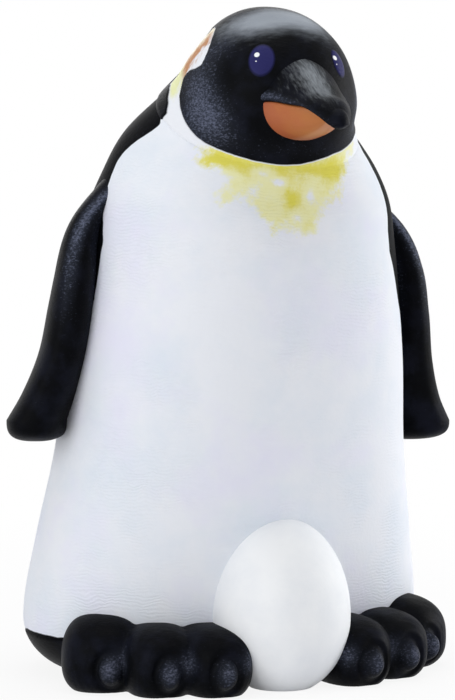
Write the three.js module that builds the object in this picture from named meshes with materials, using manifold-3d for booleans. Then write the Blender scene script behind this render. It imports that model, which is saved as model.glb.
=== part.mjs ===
// Carved and painted wooden penguin figure with an egg at its feet.
// Millimetres, +Z up. The figure faces -Y and stands on z = 0, and its own right side is -X.
// Its pieces are carved apart, dowelled and glued together, so no piece moves.
import * as THREE from "three";
import { mergeVertices } from "three/addons/utils/BufferGeometryUtils.js";
import Module from "manifold-3d";

const wasm = await Module();
wasm.setup();

// Fits
const glueGap = 0.3;
const dowelFit = 0.2;

// Cutting tools reach this far past the figure, and this far under the ground.
const toolReach = 60;
const toolUnder = 1;

// Trunk: level sections hung on a side line, which is where they are widest. front and back are the
// greatest depths from the side line to the belly and to the spine.
const trunk = { height: 87.6, halfWidth: 33.3, front: 24.6, back: 21.5 };

// The trunk's curve: at is a share of its height, lean tips the section forward in degrees, sideLine
// is a share of the front depth, and the rest are shares of the sizes that they are named for.
const trunkCurve = [
  { at: 0, sideLine: 0.077, halfWidth: 0.997, front: 0.894, back: 0.977, lean: 0 },
  { at: 0.126, sideLine: 0.073, halfWidth: 1, front: 0.915, back: 0.977, lean: 0 },
  { at: 0.251, sideLine: 0.028, halfWidth: 0.946, front: 0.955, back: 0.977, lean: 0 },
  { at: 0.411, sideLine: -0.061, halfWidth: 0.868, front: 0.976, back: 1, lean: 0 },
  { at: 0.571, sideLine: -0.13, halfWidth: 0.829, front: 0.988, back: 0.977, lean: 0 },
  { at: 0.708, sideLine: -0.146, halfWidth: 0.793, front: 1, back: 0.907, lean: 3 },
  { at: 0.811, sideLine: -0.171, halfWidth: 0.751, front: 0.984, back: 0.847, lean: 9 },
  { at: 0.89, sideLine: -0.324, halfWidth: 0.68, front: 0.815, back: 0.822, lean: 17 },
  { at: 0.947, sideLine: -0.402, halfWidth: 0.595, front: 0.724, back: 0.793, lean: 24 },
];
const trunkSquareness = 2.15;
const trunkRingPoints = 40;
const trunkLevelStep = 4.2;

// The trunk's lower edge rolls under to a flat standing face.
const baseRoll = { inset: 9.5, rise: 9 };
const baseRollSteps = 4;

// Neck seat: the flat leaning face on top of the trunk that carries the head.
const neck = { forward: 12.8, halfWidth: 15.5, front: 15.4, back: 14.9, lean: 30 };

// Head: a dome over the neck seat, drawn in above the seat and tipped forward at the crown.
const head = { height: 18.5, lip: 0.3, crownShift: 2.4 };
const headFullness = 2.05;
const headLevels = 9;

// The head's curve: at is a share of its height. halfWidth and back are what the section keeps of a
// plain dome's, and shift is how far it moves forward, as a share of the crown's shift.
const headCurve = [
  { at: 0, halfWidth: 1, back: 1, shift: 0 },
  { at: 0.2, halfWidth: 0.881, back: 0.838, shift: 0.117 },
  { at: 0.4, halfWidth: 0.887, back: 0.835, shift: 0.525 },
  { at: 0.6, halfWidth: 0.89, back: 0.905, shift: 0.771 },
  { at: 0.8, halfWidth: 0.922, back: 1.058, shift: 0.85 },
  { at: 0.93, halfWidth: 0.936, back: 1.165, shift: 0.933 },
  { at: 1, halfWidth: 0.936, back: 1.165, shift: 1 },
];

// The last ring of a dome stops this share short of its top, and a fan closes it.
const domeStop = 0.985;

// Bill: upright sections going forward from inside the face to the tip. Its heights are above the
// neck seat, droop is how far the mouth line falls to the tip, and depth is how far the lower bill
// hangs under the neck seat's height.
const bill = {
  sunk: 2.1,
  upperLength: 16.6,
  lowerLength: 13.1,
  upperHalf: 7.4,
  lowerHalf: 6.5,
  culmen: 8.6,
  mouth: 1.4,
  droop: 4.0,
  depth: 3.9,
};
const billCurve = [
  { at: 0, upperHalf: 1, culmen: 1.04, droop: -0.06, lowerHalf: 1, depth: 1 },
  { at: 0.269, upperHalf: 0.81, culmen: 0.932, droop: -0.03, lowerHalf: 0.8, depth: 0.93 },
  { at: 0.479, upperHalf: 0.674, culmen: 0.614, droop: 0.14, lowerHalf: 0.635, depth: 0.877 },
  { at: 0.659, upperHalf: 0.553, culmen: 0.317, droop: 0.302, lowerHalf: 0.454, depth: 0.823 },
  { at: 0.808, upperHalf: 0.398, culmen: 0.158, droop: 0.627, lowerHalf: 0.268, depth: 0.719 },
  { at: 0.91, upperHalf: 0.2, culmen: 0.084, droop: 1, lowerHalf: 0.171, depth: 0.745 },
];
const upperBillRoundness = 1.55;
const lowerBillRoundness = 2.1;
const billTipBluntness = 5;
const billArcPoints = 14;
const billMouthPoints = 5;
const billLevels = 9;
const billStop = 0.97;

// Flippers: flat slabs that lie along the trunk's sides and flare out at their tips. Carved by hand,
// the two don't hang at quite the same height.
const flipper = { topDrop: 7.6, length: 40, tipRound: 3.4, halfWidth: 12.4, halfThick: 4.7 };
const flipperLift = { left: -0.7, right: 0.9 };

// The flippers' curve: at is a share of the length, sunk is how far the middle of the slab lies
// inside the trunk's side, in half thicknesses, behind is how far it lies behind the side line, in
// half widths, and twist turns its front edge out.
const flipperCurve = [
  { at: 0, sunk: 0.84, behind: 0.36, halfWidth: 0.16, halfThick: 0.42, twist: 33 },
  { at: 0.075, sunk: 0.7, behind: 0.28, halfWidth: 0.4, halfThick: 0.53, twist: 31 },
  { at: 0.2, sunk: 0.44, behind: 0.21, halfWidth: 0.73, halfThick: 0.63, twist: 30 },
  { at: 0.363, sunk: 0.25, behind: 0.25, halfWidth: 0.95, halfThick: 0.76, twist: 25 },
  { at: 0.55, sunk: 0.17, behind: 0.285, halfWidth: 1, halfThick: 0.86, twist: 23 },
  { at: 0.75, sunk: 0.021, behind: 0.323, halfWidth: 0.968, halfThick: 0.894, twist: 22 },
  { at: 0.9, sunk: -0.341, behind: 0.289, halfWidth: 0.871, halfThick: 0.957, twist: 24 },
  { at: 1, sunk: -0.758, behind: 0.214, halfWidth: 0.79, halfThick: 1, twist: 26 },
];
const flipperSquareness = 2.5;
const flipperRingPoints = 20;
const flipperLevels = 9;
const flipperTipSteps = 3;
const flipperTipStop = 0.9;

// Feet: three rounded toes with a claw each, in front of a heel block let into the trunk's lower edge.
// behind is how far a toe's middle lies behind the front of the belly.
const innerToe = { halfWidth: 5.5, halfLength: 9.7, height: 10.4, behind: -0.2, splay: 2 };
const middleToe = { halfWidth: 5.4, halfLength: 9.9, height: 10.6, behind: 3.1, splay: 12 };
const outerToe = { halfWidth: 6.8, halfLength: 11.1, height: 11.7, behind: 10.5, splay: 30 };
const innerToeBesideEgg = 0.8;
const outerToeInsideTrunk = 9.2;
const middleToeShare = 0.58;
const toe = { middleHeight: 4.6, under: 6.0 };
const toePointsAround = 20;
const toePointsDown = 12;
const claw = { radius: 1.9, length: 2.7, height: 3.1, sunk: 1.7 };
const clawPointsAround = 10;
const clawPointsDown = 6;
const heel = { inner: 5.5, back: 10, top: 7.0 };

// Egg: blunt end down, cut flat where it stands, half let into the belly.
const egg = { proud: 1.7, radius: 10.8, widestHeight: 11, height: 25.4, bluntDrop: 12.4 };
const eggPointsAround = 32;
const eggPointsUp = 12;

// Tail: a short round-ended wedge at the foot of the spine.
const tail = { sunk: 6.9, length: 15 };
const tailRoot = { height: 10.5, halfWidth: 8.0, halfThick: 6.0 };
const tailTip = { height: 2.6, halfWidth: 5.4, halfThick: 2.4 };
const tailBluntness = 5;
const tailRingPoints = 20;
const tailLevels = 8;

// Hidden glue dowels
const neckDowel = { radius: 3.0, intoTrunk: 9, intoHead: 9, back: 1 };
const billDowel = { radius: 0.9, intoHead: 2, intoBill: 9, rise: 4.2 };
const flipperDowel = { radius: 1.5, underTop: 22, forward: 1.2, intoTrunk: 9.8, pastMiddle: 2.5 };
const footDowel = { radius: 1.5, insideTrunk: 13.3, behind: 14.1, bottom: 2.4, intoTrunk: 6 };
const eggDowel = { radius: 1.5, intoEgg: 2.8, intoTrunk: 13.8 };
const tailDowel = { radius: 1.2, intoTrunk: 3, intoTail: 10.5 };
const dowelSides = 12;

// Paint and wood
const whitePaint = { color: 0xe9edf2, roughness: 0.55, metalness: 0 };
const blackPaint = { color: 0x15171c, roughness: 0.35, metalness: 0 };
const orangePaint = { color: 0xb8693f, roughness: 0.45, metalness: 0 };
const eggPaint = { color: 0xf1efe9, roughness: 0.5, metalness: 0 };
const bareBeech = { color: 0xc9a777, roughness: 0.7, metalness: 0 };

// Shape helpers

const mix = THREE.MathUtils.lerp;

// Reads a curve's stations at any place along it, smoothly.
function curveReader(stations, key = "at") {
  const fields = Object.keys(stations[0]).filter((field) => field !== key);
  const places = stations.map((station) => station[key]);
  const values = stations.flatMap((station) => fields.map((field) => station[field]));
  const curve = new THREE.CubicInterpolant(places, values, fields.length, []);
  return (place) => {
    const found = curve.evaluate(place);
    return Object.fromEntries(fields.map((field, index) => [field, found[index]]));
  };
}

function superCosine(angle, squareness) {
  const value = Math.cos(angle);
  return Math.sign(value) * Math.abs(value) ** (2 / squareness);
}

function superSine(angle, squareness) {
  return superCosine(angle - Math.PI / 2, squareness);
}

// Skins a row of rings and closes both ends with fans.
function loft(rings) {
  const count = rings[0].length;
  const positions = rings.flat().flatMap((point) => point.toArray());
  const index = [];
  for (let row = 0; row < rings.length - 1; row++) {
    for (let column = 0; column < count; column++) {
      const a = row * count + column;
      const b = row * count + ((column + 1) % count);
      index.push(a, b, b + count, a, b + count, a + count);
    }
  }
  const addCap = (row, turned) => {
    const center = new THREE.Vector3();
    rings[row].forEach((point) => center.addScaledVector(point, 1 / count));
    const hub = positions.length / 3;
    positions.push(...center.toArray());
    for (let column = 0; column < count; column++) {
      const a = row * count + column;
      const b = row * count + ((column + 1) % count);
      index.push(hub, ...(turned ? [b, a] : [a, b]));
    }
  };
  addCap(0, true);
  addCap(rings.length - 1, false);
  const geometry = new THREE.BufferGeometry();
  geometry.setAttribute("position", new THREE.Float32BufferAttribute(positions, 3));
  geometry.setIndex(index);
  return geometry;
}

function signedVolume(geometry) {
  const corner = [0, 1, 2].map(() => new THREE.Vector3());
  let volume = 0;
  for (let place = 0; place < geometry.index.count; place += 3) {
    corner.forEach((point, step) => {
      point.fromBufferAttribute(geometry.attributes.position, geometry.index.getX(place + step));
    });
    volume += corner[0].dot(corner[1].clone().cross(corner[2])) / 6;
  }
  return volume;
}

// Turns a closed geometry into a solid whose faces point out.
function solidOf(source) {
  const bare = source.clone();
  bare.deleteAttribute("normal");
  bare.deleteAttribute("uv");
  const merged = mergeVertices(bare, 1e-4);
  const index = [...merged.index.array];
  if (signedVolume(merged) < 0) index.reverse();
  return new wasm.Manifold(new wasm.Mesh({
    numProp: 3,
    vertProperties: new Float32Array(merged.attributes.position.array),
    triVerts: new Uint32Array(index),
  }));
}

function geometryOf(solid) {
  const mesh = solid.getMesh();
  const geometry = new THREE.BufferGeometry();
  geometry.setAttribute("position", new THREE.BufferAttribute(new Float32Array(mesh.vertProperties), 3));
  geometry.setIndex(new THREE.BufferAttribute(new Uint32Array(mesh.triVerts), 1));
  geometry.computeVertexNormals();
  return geometry;
}

function rod(from, to, radius) {
  const geometry = new THREE.CylinderGeometry(radius, radius, from.distanceTo(to), dowelSides);
  const along = to.clone().sub(from).normalize();
  geometry.applyQuaternion(new THREE.Quaternion().setFromUnitVectors(new THREE.Vector3(0, 1, 0), along));
  geometry.translate(...from.clone().add(to).multiplyScalar(0.5).toArray());
  return solidOf(geometry);
}

function block(low, high) {
  const size = high.map((value, axis) => value - low[axis]);
  const geometry = new THREE.BoxGeometry(...size);
  geometry.translate(...low.map((value, axis) => value + size[axis] / 2));
  return solidOf(geometry);
}

// An ellipsoid whose lower half may have a depth of its own.
function ellipsoid(radii, around, down, under = radii[2]) {
  const geometry = new THREE.SphereGeometry(1, around, down);
  geometry.rotateX(Math.PI / 2);
  geometry.scale(...radii);
  const places = geometry.attributes.position;
  for (let place = 0; place < places.count; place++) {
    const height = places.getZ(place);
    if (height < 0) places.setZ(place, (height * under) / radii[2]);
  }
  return geometry;
}

function mirrored(solid) {
  return solid.mirror([1, 0, 0]);
}

// Trunk and head

const trunkStations = trunkCurve.map((station) => ({
  height: station.at * trunk.height,
  sideLine: station.sideLine * trunk.front,
  halfWidth: station.halfWidth * trunk.halfWidth,
  front: station.front * trunk.front,
  back: station.back * trunk.back,
  lean: station.lean,
}));
const neckSection = {
  height: trunk.height,
  sideLine: -neck.forward,
  halfWidth: neck.halfWidth,
  front: neck.front,
  back: neck.back,
  lean: neck.lean,
};
const readTrunk = curveReader([...trunkStations, neckSection], "height");

// Where the belly and the spine meet the ground line, before the roll.
const groundSection = readTrunk(0);
const bellyLine = groundSection.sideLine - groundSection.front;
const spineLine = groundSection.sideLine + groundSection.back;

// One leaning section: an oval with its own depths in front of and behind its widest points.
function leaningRing(section, centerY, centerHeight, grow) {
  const lean = THREE.MathUtils.degToRad(section.lean);
  const ring = [];
  for (let step = 0; step < trunkRingPoints; step++) {
    const angle = (2 * Math.PI * step) / trunkRingPoints;
    const across = superCosine(angle, trunkSquareness) * (section.halfWidth + grow);
    const turn = superSine(angle, trunkSquareness);
    const deep = turn * ((turn < 0 ? section.front : section.back) + grow);
    ring.push(new THREE.Vector3(
      across,
      centerY + deep * Math.cos(lean),
      centerHeight + deep * Math.sin(lean),
    ));
  }
  return ring;
}

function trunkForm(grow) {
  const rings = [];
  const addRing = (height, inset) => {
    const section = readTrunk(height);
    rings.push(leaningRing(section, section.sideLine, height, grow - inset));
  };
  if (grow > 0) {
    rings.push(leaningRing(groundSection, groundSection.sideLine, -toolUnder, grow - baseRoll.inset));
  }
  for (let step = 0; step < baseRollSteps; step++) {
    const turn = (Math.PI / 2) * (step / baseRollSteps);
    addRing(baseRoll.rise * (1 - Math.cos(turn)), baseRoll.inset * (1 - Math.sin(turn)));
  }
  const levels = Math.round((trunk.height - baseRoll.rise) / trunkLevelStep);
  for (let level = 0; level <= levels; level++) {
    addRing(mix(baseRoll.rise, trunk.height, level / levels), 0);
  }
  return solidOf(loft(rings));
}

// Directions of the neck seat: up off its face and back along it.
const neckLean = THREE.MathUtils.degToRad(neck.lean);
const neckUp = new THREE.Vector3(0, -Math.sin(neckLean), Math.cos(neckLean));
const neckBack = new THREE.Vector3(0, Math.cos(neckLean), Math.sin(neckLean));

function neckPoint(up, back) {
  const seat = new THREE.Vector3(0, -neck.forward, trunk.height);
  return seat.addScaledVector(neckUp, up).addScaledVector(neckBack, back);
}

const readHead = curveReader(headCurve);

function headForm(grow) {
  const rings = [];
  for (let level = 0; level <= headLevels; level++) {
    const turn = (Math.PI / 2) * (level / headLevels) * domeStop;
    const scale = superCosine(turn, headFullness);
    const rise = superSine(turn, headFullness);
    const station = readHead(rise);
    const section = {
      halfWidth: (neck.halfWidth + head.lip) * scale * station.halfWidth,
      front: (neck.front + head.lip) * scale,
      back: (neck.back + head.lip) * scale * station.back,
      lean: neck.lean,
    };
    const up = glueGap + (head.height + grow) * rise;
    const center = neckPoint(up, -head.crownShift * station.shift);
    rings.push(leaningRing(section, center.y, center.z, grow * scale));
  }
  return solidOf(loft(rings));
}

// Bill

const billRoot = -neck.forward - neck.front + bill.sunk;
const readBill = curveReader(billCurve);

// The bill's own lines at a share of the upper bill's length, with the seam between its halves.
function billSection(share, half) {
  const station = readBill(Math.min(share, billCurve.at(-1).at));
  const mouth = trunk.height + bill.mouth - bill.droop * station.droop;
  if (half === "upper") {
    return {
      halfWidth: bill.upperHalf * station.upperHalf,
      mouth: mouth + glueGap / 2,
      edge: trunk.height + bill.culmen * station.culmen,
    };
  }
  return {
    halfWidth: bill.lowerHalf * station.lowerHalf,
    mouth: mouth - glueGap / 2,
    edge: trunk.height - bill.depth * station.depth,
  };
}

// Half an oval standing on, or hanging from, a level mouth line.
function billRing(y, halfWidth, mouth, edge, roundness) {
  const ring = [];
  for (let step = 0; step <= billArcPoints; step++) {
    const angle = (Math.PI * step) / billArcPoints;
    ring.push(new THREE.Vector3(
      halfWidth * superCosine(angle, roundness),
      y,
      mouth + (edge - mouth) * superSine(angle, roundness),
    ));
  }
  for (let step = 1; step <= billMouthPoints; step++) {
    ring.push(new THREE.Vector3(mix(-halfWidth, halfWidth, step / (billMouthPoints + 1)), y, mouth));
  }
  return ring;
}

function billForm(half, length, roundness) {
  const rings = [];
  for (let level = 0; level <= billLevels; level++) {
    const share = Math.sin((Math.PI / 2) * (level / billLevels) * billStop);
    const section = billSection((share * length) / bill.upperLength, half);
    const rounding = Math.sqrt(1 - share ** billTipBluntness);
    const edge = mix(section.mouth, section.edge, rounding);
    const halfWidth = section.halfWidth * rounding;
    rings.push(billRing(billRoot - length * share, halfWidth, section.mouth, edge, roundness));
  }
  return solidOf(loft(rings));
}

// Flippers

const readFlipper = curveReader(flipperCurve);
const flipperTop = trunk.height - flipper.topDrop;

// The middle of the left flipper at a share of its length, hung on the trunk's side.
function flipperSection(share) {
  const station = readFlipper(share);
  const height = flipperTop - flipper.length * share;
  const side = readTrunk(height);
  return {
    x: side.halfWidth - station.sunk * flipper.halfThick,
    y: side.sideLine + station.behind * flipper.halfWidth,
    height,
    halfWidth: station.halfWidth * flipper.halfWidth,
    halfThick: station.halfThick * flipper.halfThick,
    twist: THREE.MathUtils.degToRad(station.twist),
  };
}

function flipperRing(section, height, scale) {
  const ring = [];
  for (let step = 0; step < flipperRingPoints; step++) {
    const angle = (2 * Math.PI * step) / flipperRingPoints;
    const along = superCosine(angle, flipperSquareness) * section.halfWidth * scale;
    const through = superSine(angle, flipperSquareness) * section.halfThick * scale;
    ring.push(new THREE.Vector3(
      section.x + along * Math.sin(section.twist) + through * Math.cos(section.twist),
      section.y - along * Math.cos(section.twist) + through * Math.sin(section.twist),
      height,
    ));
  }
  return ring;
}

function flipperForm() {
  const rings = [];
  for (let level = 0; level <= flipperLevels; level++) {
    const section = flipperSection(level / flipperLevels);
    rings.push(flipperRing(section, section.height, 1));
  }
  const last = flipperSection(1);
  for (let step = 1; step <= flipperTipSteps; step++) {
    const turn = (Math.PI / 2) * (step / flipperTipSteps) * flipperTipStop;
    rings.push(flipperRing(last, last.height - flipper.tipRound * Math.sin(turn), Math.cos(turn)));
  }
  return solidOf(loft(rings));
}

// Feet, egg and tail

const innerToeX = egg.radius + innerToeBesideEgg;
const outerToeX = trunk.halfWidth - outerToeInsideTrunk;
const middleToeX = mix(innerToeX, outerToeX, middleToeShare);

function toeForm(size, x) {
  const lobe = ellipsoid(
    [size.halfWidth, size.halfLength, size.height - toe.middleHeight],
    toePointsAround,
    toePointsDown,
    toe.under,
  );
  const nail = ellipsoid([claw.radius, claw.length, claw.radius], clawPointsAround, clawPointsDown);
  nail.translate(0, -size.halfLength + claw.sunk, claw.height - toe.middleHeight);
  const place = (geometry) => {
    geometry.rotateZ(THREE.MathUtils.degToRad(size.splay));
    geometry.translate(x, bellyLine + size.behind, toe.middleHeight);
    return solidOf(geometry);
  };
  return place(lobe).add(place(nail));
}

const eggMiddle = bellyLine - egg.proud;

function eggForm(grow) {
  const outline = [];
  const bottomTurn = Math.asin(egg.widestHeight / egg.bluntDrop);
  for (let step = 0; step <= eggPointsUp; step++) {
    const turn = mix(-bottomTurn, Math.PI / 2, step / eggPointsUp);
    const rise = turn < 0 ? egg.bluntDrop : egg.height - egg.widestHeight;
    outline.push(new THREE.Vector2(
      (egg.radius + grow) * Math.cos(turn),
      egg.widestHeight + (rise + grow) * Math.sin(turn),
    ));
  }
  outline[0].y = grow > 0 ? -toolUnder : 0;
  outline.unshift(new THREE.Vector2(0, outline[0].y));
  outline.at(-1).x = 0;
  const geometry = new THREE.LatheGeometry(outline, eggPointsAround);
  geometry.rotateX(Math.PI / 2);
  geometry.translate(0, eggMiddle, 0);
  return solidOf(geometry);
}

// A point on the tail's middle line at a share of its length.
function tailPoint(share) {
  return new THREE.Vector3(
    0,
    spineLine - tail.sunk + tail.length * share,
    mix(tailRoot.height, tailTip.height, share),
  );
}

function tailForm() {
  const rings = [];
  for (let level = 0; level <= tailLevels; level++) {
    const share = Math.sin((Math.PI / 2) * (level / tailLevels) * domeStop);
    const rounding = Math.sqrt(1 - share ** tailBluntness);
    const halfWidth = mix(tailRoot.halfWidth, tailTip.halfWidth, share) * rounding;
    const halfThick = mix(tailRoot.halfThick, tailTip.halfThick, share) * rounding;
    const ring = [];
    for (let step = 0; step < tailRingPoints; step++) {
      const angle = (2 * Math.PI * step) / tailRingPoints;
      const offset = new THREE.Vector3(halfWidth * Math.cos(angle), 0, halfThick * Math.sin(angle));
      ring.push(tailPoint(share).add(offset));
    }
    rings.push(ring);
  }
  return solidOf(loft(rings));
}

// Dowels: the ends of each rod's middle line

function flipperRod(lift) {
  const section = flipperSection(flipperDowel.underTop / flipper.length);
  const side = readTrunk(section.height);
  const y = section.y - flipperDowel.forward;
  return [
    new THREE.Vector3(side.halfWidth - flipperDowel.intoTrunk, y, section.height + lift),
    new THREE.Vector3(section.x + flipperDowel.pastMiddle, y, section.height + lift),
  ];
}

function billRod() {
  const section = billSection(billDowel.intoBill / bill.upperLength, "upper");
  return [
    new THREE.Vector3(0, billRoot + billDowel.intoHead, trunk.height + billDowel.rise),
    new THREE.Vector3(0, billRoot - billDowel.intoBill, (section.mouth + section.edge) / 2),
  ];
}

const neckRod = [
  neckPoint(-neckDowel.intoTrunk, neckDowel.back),
  neckPoint(neckDowel.intoHead, neckDowel.back),
];
const footRod = [footDowel.bottom, heel.top + footDowel.intoTrunk].map((height) => (
  new THREE.Vector3(trunk.halfWidth - footDowel.insideTrunk, bellyLine + footDowel.behind, height)
));
const eggRod = [eggDowel.intoEgg, eggDowel.intoTrunk].map((back) => (
  new THREE.Vector3(0, eggMiddle + back, egg.widestHeight)
));
const tailRod = [-tailDowel.intoTrunk, tailDowel.intoTail].map((reach) => tailPoint(reach / tail.length));

// The hole for a rod is wider and longer than the rod by the dowel fit.
function holeFor([from, to], radius) {
  const spare = to.clone().sub(from).setLength(dowelFit);
  return rod(from.clone().sub(spare), to.clone().add(spare), radius + dowelFit);
}

// Assembly

const trunkSolid = trunkForm(0);
const trunkCutter = trunkForm(glueGap);
const headCutter = headForm(glueGap);
const eggCutter = eggForm(glueGap);
const aboveGround = block([-toolReach, -toolReach, 0], [toolReach, toolReach, 2 * toolReach]);

const heelSpace = block([heel.inner, -toolReach, -toolUnder], [toolReach, heel.back, heel.top]);
const heelRoom = block(
  [heel.inner + glueGap, -toolReach, -toolUnder],
  [toolReach, heel.back - glueGap, heel.top - glueGap],
);

const neckHole = holeFor(neckRod, neckDowel.radius);
const billHole = holeFor(billRod(), billDowel.radius);
const flipperHole = (lift) => holeFor(flipperRod(lift), flipperDowel.radius);
const footHole = holeFor(footRod, footDowel.radius);
const eggHole = holeFor(eggRod, eggDowel.radius);
const tailHole = holeFor(tailRod, tailDowel.radius);

const leftCuts = [heelSpace, footHole, flipperHole(flipperLift.left)];
const rightCuts = [heelSpace, footHole, flipperHole(flipperLift.right)].map(mirrored);
const trunkPiece = [...leftCuts, ...rightCuts, eggCutter, neckHole, eggHole, tailHole]
  .reduce((rest, cut) => rest.subtract(cut), trunkSolid);

const headPiece = headForm(0).subtract(neckHole).subtract(billHole);
const upperBill = billForm("upper", bill.upperLength, upperBillRoundness)
  .subtract(headCutter)
  .subtract(billHole);
const lowerBill = billForm("lower", bill.lowerLength, lowerBillRoundness).subtract(headCutter);

const hungFlipper = (lift) => (
  flipperForm().translate(0, 0, lift).subtract(trunkCutter).subtract(flipperHole(lift))
);

const leftToes = [toeForm(innerToe, innerToeX), toeForm(middleToe, middleToeX), toeForm(outerToe, outerToeX)];
const leftFoot = leftToes
  .reduce((sum, lobe) => sum.add(lobe), trunkSolid.intersect(heelRoom))
  .intersect(aboveGround)
  .subtract(trunkCutter.subtract(heelRoom))
  .subtract(eggCutter)
  .subtract(footHole);

const tailPiece = tailForm().intersect(aboveGround).subtract(trunkCutter).subtract(tailHole);

const leftFlipperRod = rod(...flipperRod(flipperLift.left), flipperDowel.radius);
const rightFlipperRod = mirrored(rod(...flipperRod(flipperLift.right), flipperDowel.radius));
const leftFootRod = rod(...footRod, footDowel.radius);

const pieces = [
  ["trunk", trunkPiece, whitePaint],
  ["head", headPiece, blackPaint],
  ["upper_bill", upperBill, blackPaint],
  ["lower_bill", lowerBill, orangePaint],
  ["left_flipper", hungFlipper(flipperLift.left), blackPaint],
  ["right_flipper", mirrored(hungFlipper(flipperLift.right)), blackPaint],
  ["left_foot", leftFoot, blackPaint],
  ["right_foot", mirrored(leftFoot), blackPaint],
  ["egg", eggForm(0).subtract(eggHole), eggPaint],
  ["tail", tailPiece, blackPaint],
  ["neck_dowel", rod(...neckRod, neckDowel.radius), bareBeech],
  ["bill_dowel", rod(...billRod(), billDowel.radius), bareBeech],
  ["left_flipper_dowel", leftFlipperRod, bareBeech],
  ["right_flipper_dowel", rightFlipperRod, bareBeech],
  ["left_foot_dowel", leftFootRod, bareBeech],
  ["right_foot_dowel", mirrored(leftFootRod), bareBeech],
  ["egg_dowel", rod(...eggRod, eggDowel.radius), bareBeech],
  ["tail_dowel", rod(...tailRod, tailDowel.radius), bareBeech],
];

const figure = new THREE.Group();
for (const [name, solid, finish] of pieces) {
  const mesh = new THREE.Mesh(geometryOf(solid), new THREE.MeshStandardMaterial(finish));
  mesh.name = name;
  figure.add(mesh);
}

// The origin is under the middle of the figure's box.
const bounds = new THREE.Box3().setFromObject(figure);
figure.position.y = -(bounds.min.y + bounds.max.y) / 2;

export default figure;
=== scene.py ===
"""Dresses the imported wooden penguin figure: carved and hand-painted skins over the plain solids.

The skins repeat the part's own curves in millimetres, finer, and carry the painted outlines as
vertex attributes that hold distances in millimetres, which the paints then read.
"""

import logging
import math
from dataclasses import dataclass, field
from enum import Enum

import bpy
import numpy as np
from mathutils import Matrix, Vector

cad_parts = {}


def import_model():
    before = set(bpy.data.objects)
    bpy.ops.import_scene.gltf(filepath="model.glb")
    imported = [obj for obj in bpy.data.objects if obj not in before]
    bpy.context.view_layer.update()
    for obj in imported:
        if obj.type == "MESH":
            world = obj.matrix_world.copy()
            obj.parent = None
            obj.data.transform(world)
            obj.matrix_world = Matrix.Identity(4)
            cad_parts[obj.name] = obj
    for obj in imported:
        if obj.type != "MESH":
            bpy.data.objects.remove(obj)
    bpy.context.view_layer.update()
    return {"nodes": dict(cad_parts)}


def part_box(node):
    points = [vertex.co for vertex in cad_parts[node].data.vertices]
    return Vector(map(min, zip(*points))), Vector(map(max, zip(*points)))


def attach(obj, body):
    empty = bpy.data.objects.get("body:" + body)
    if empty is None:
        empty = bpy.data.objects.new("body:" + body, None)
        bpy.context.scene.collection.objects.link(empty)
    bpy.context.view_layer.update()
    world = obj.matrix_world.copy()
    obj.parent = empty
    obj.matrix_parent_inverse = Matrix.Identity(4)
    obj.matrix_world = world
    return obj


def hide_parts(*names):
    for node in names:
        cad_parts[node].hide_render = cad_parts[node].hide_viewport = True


LOG = logging.getLogger("penguin_figure")
METRES_PER_MM = 0.001
RIM_DEGREES = 50.0
UP = np.array([0.0, 0.0, 1.0])
# The turn that faces the figure's front, in degrees
FRONT_TURN = 270.0
# Stands for out of reach, in any measure
FAR = 9.0
# Bands of the wave texture in a full turn of its scale
WAVE_BANDS = 20


class Side(Enum):
    """The figure's own left and right, as the sign of x."""

    LEFT = 1
    RIGHT = -1


class BillHalf(Enum):
    """The two halves of the bill."""

    UPPER = "upper"
    LOWER = "lower"


class Run(Enum):
    """How a mask runs from empty to full, by Blender's names."""

    SMOOTH = "SMOOTHSTEP"
    STRAIGHT = "LINEAR"


# Curves and skins


@dataclass(frozen=True)
class Curve:
    """A smooth curve through stations, read the way that the part's own curves are."""

    places: np.ndarray
    values: np.ndarray

    @classmethod
    def of(cls, rows: tuple) -> "Curve":
        """Makes a curve of rows that each hold a place and its values."""
        table = np.array(rows, float)
        return cls(table[:, 0], table[:, 1:])

    def read(self, wanted: np.ndarray) -> np.ndarray:
        """Reads the curve.

        Args:
            wanted: Places along the curve, any shape.

        Returns:
            The values there, with one more axis for the fields.
        """
        places, values = self.places, self.values
        last = len(places) - 1
        wanted = np.clip(np.asarray(wanted, float), places[0], places[-1])
        after = np.clip(np.searchsorted(places, wanted, side="right"), 1, last)
        before = after - 1
        start, end = places[before], places[after]
        earlier = np.where(before > 0, before - 1, after)
        later = np.where(after < last, np.minimum(after + 1, last), before)
        half = (end - start) / 2
        weight_in = (half / (start - places[earlier]))[..., None]
        weight_out = (half / (places[later] - end))[..., None]
        p = ((wanted - start) / (end - start))[..., None]
        from_before = (1 + weight_in) * p**3 + (-1.5 - 2 * weight_in) * p**2 + (weight_in - 0.5) * p + 1
        return (
            (-weight_in * p**3 + 2 * weight_in * p**2 - weight_in * p) * values[earlier]
            + from_before * values[before]
            + ((-1 - weight_out) * p**3 + (1.5 + weight_out) * p**2 + 0.5 * p) * values[after]
            + (weight_out * p**3 - weight_out * p**2) * values[later]
        )

    def fields(self, wanted: np.ndarray) -> np.ndarray:
        """Reads the curve as one row for each field."""
        return np.moveaxis(self.read(wanted), -1, 0)


def super_cosine(turn: np.ndarray, squareness: float) -> np.ndarray:
    """A cosine squared off towards a box by squareness above 2, or drawn in below 2."""
    value = np.cos(turn)
    return np.sign(value) * np.abs(value) ** (2 / squareness)


def super_sine(turn: np.ndarray, squareness: float) -> np.ndarray:
    """The sine that goes with super_cosine."""
    return super_cosine(np.asarray(turn) - math.pi / 2, squareness)


def full_turn(points: int) -> np.ndarray:
    """Evenly spaced angles once round, without the last."""
    return np.arange(points) * (math.tau / points)


def bell(values: np.ndarray, middle: float, spread: float) -> np.ndarray:
    """A bell, 1 at its middle."""
    return np.exp(-0.5 * ((values - middle) / spread) ** 2)


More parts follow.
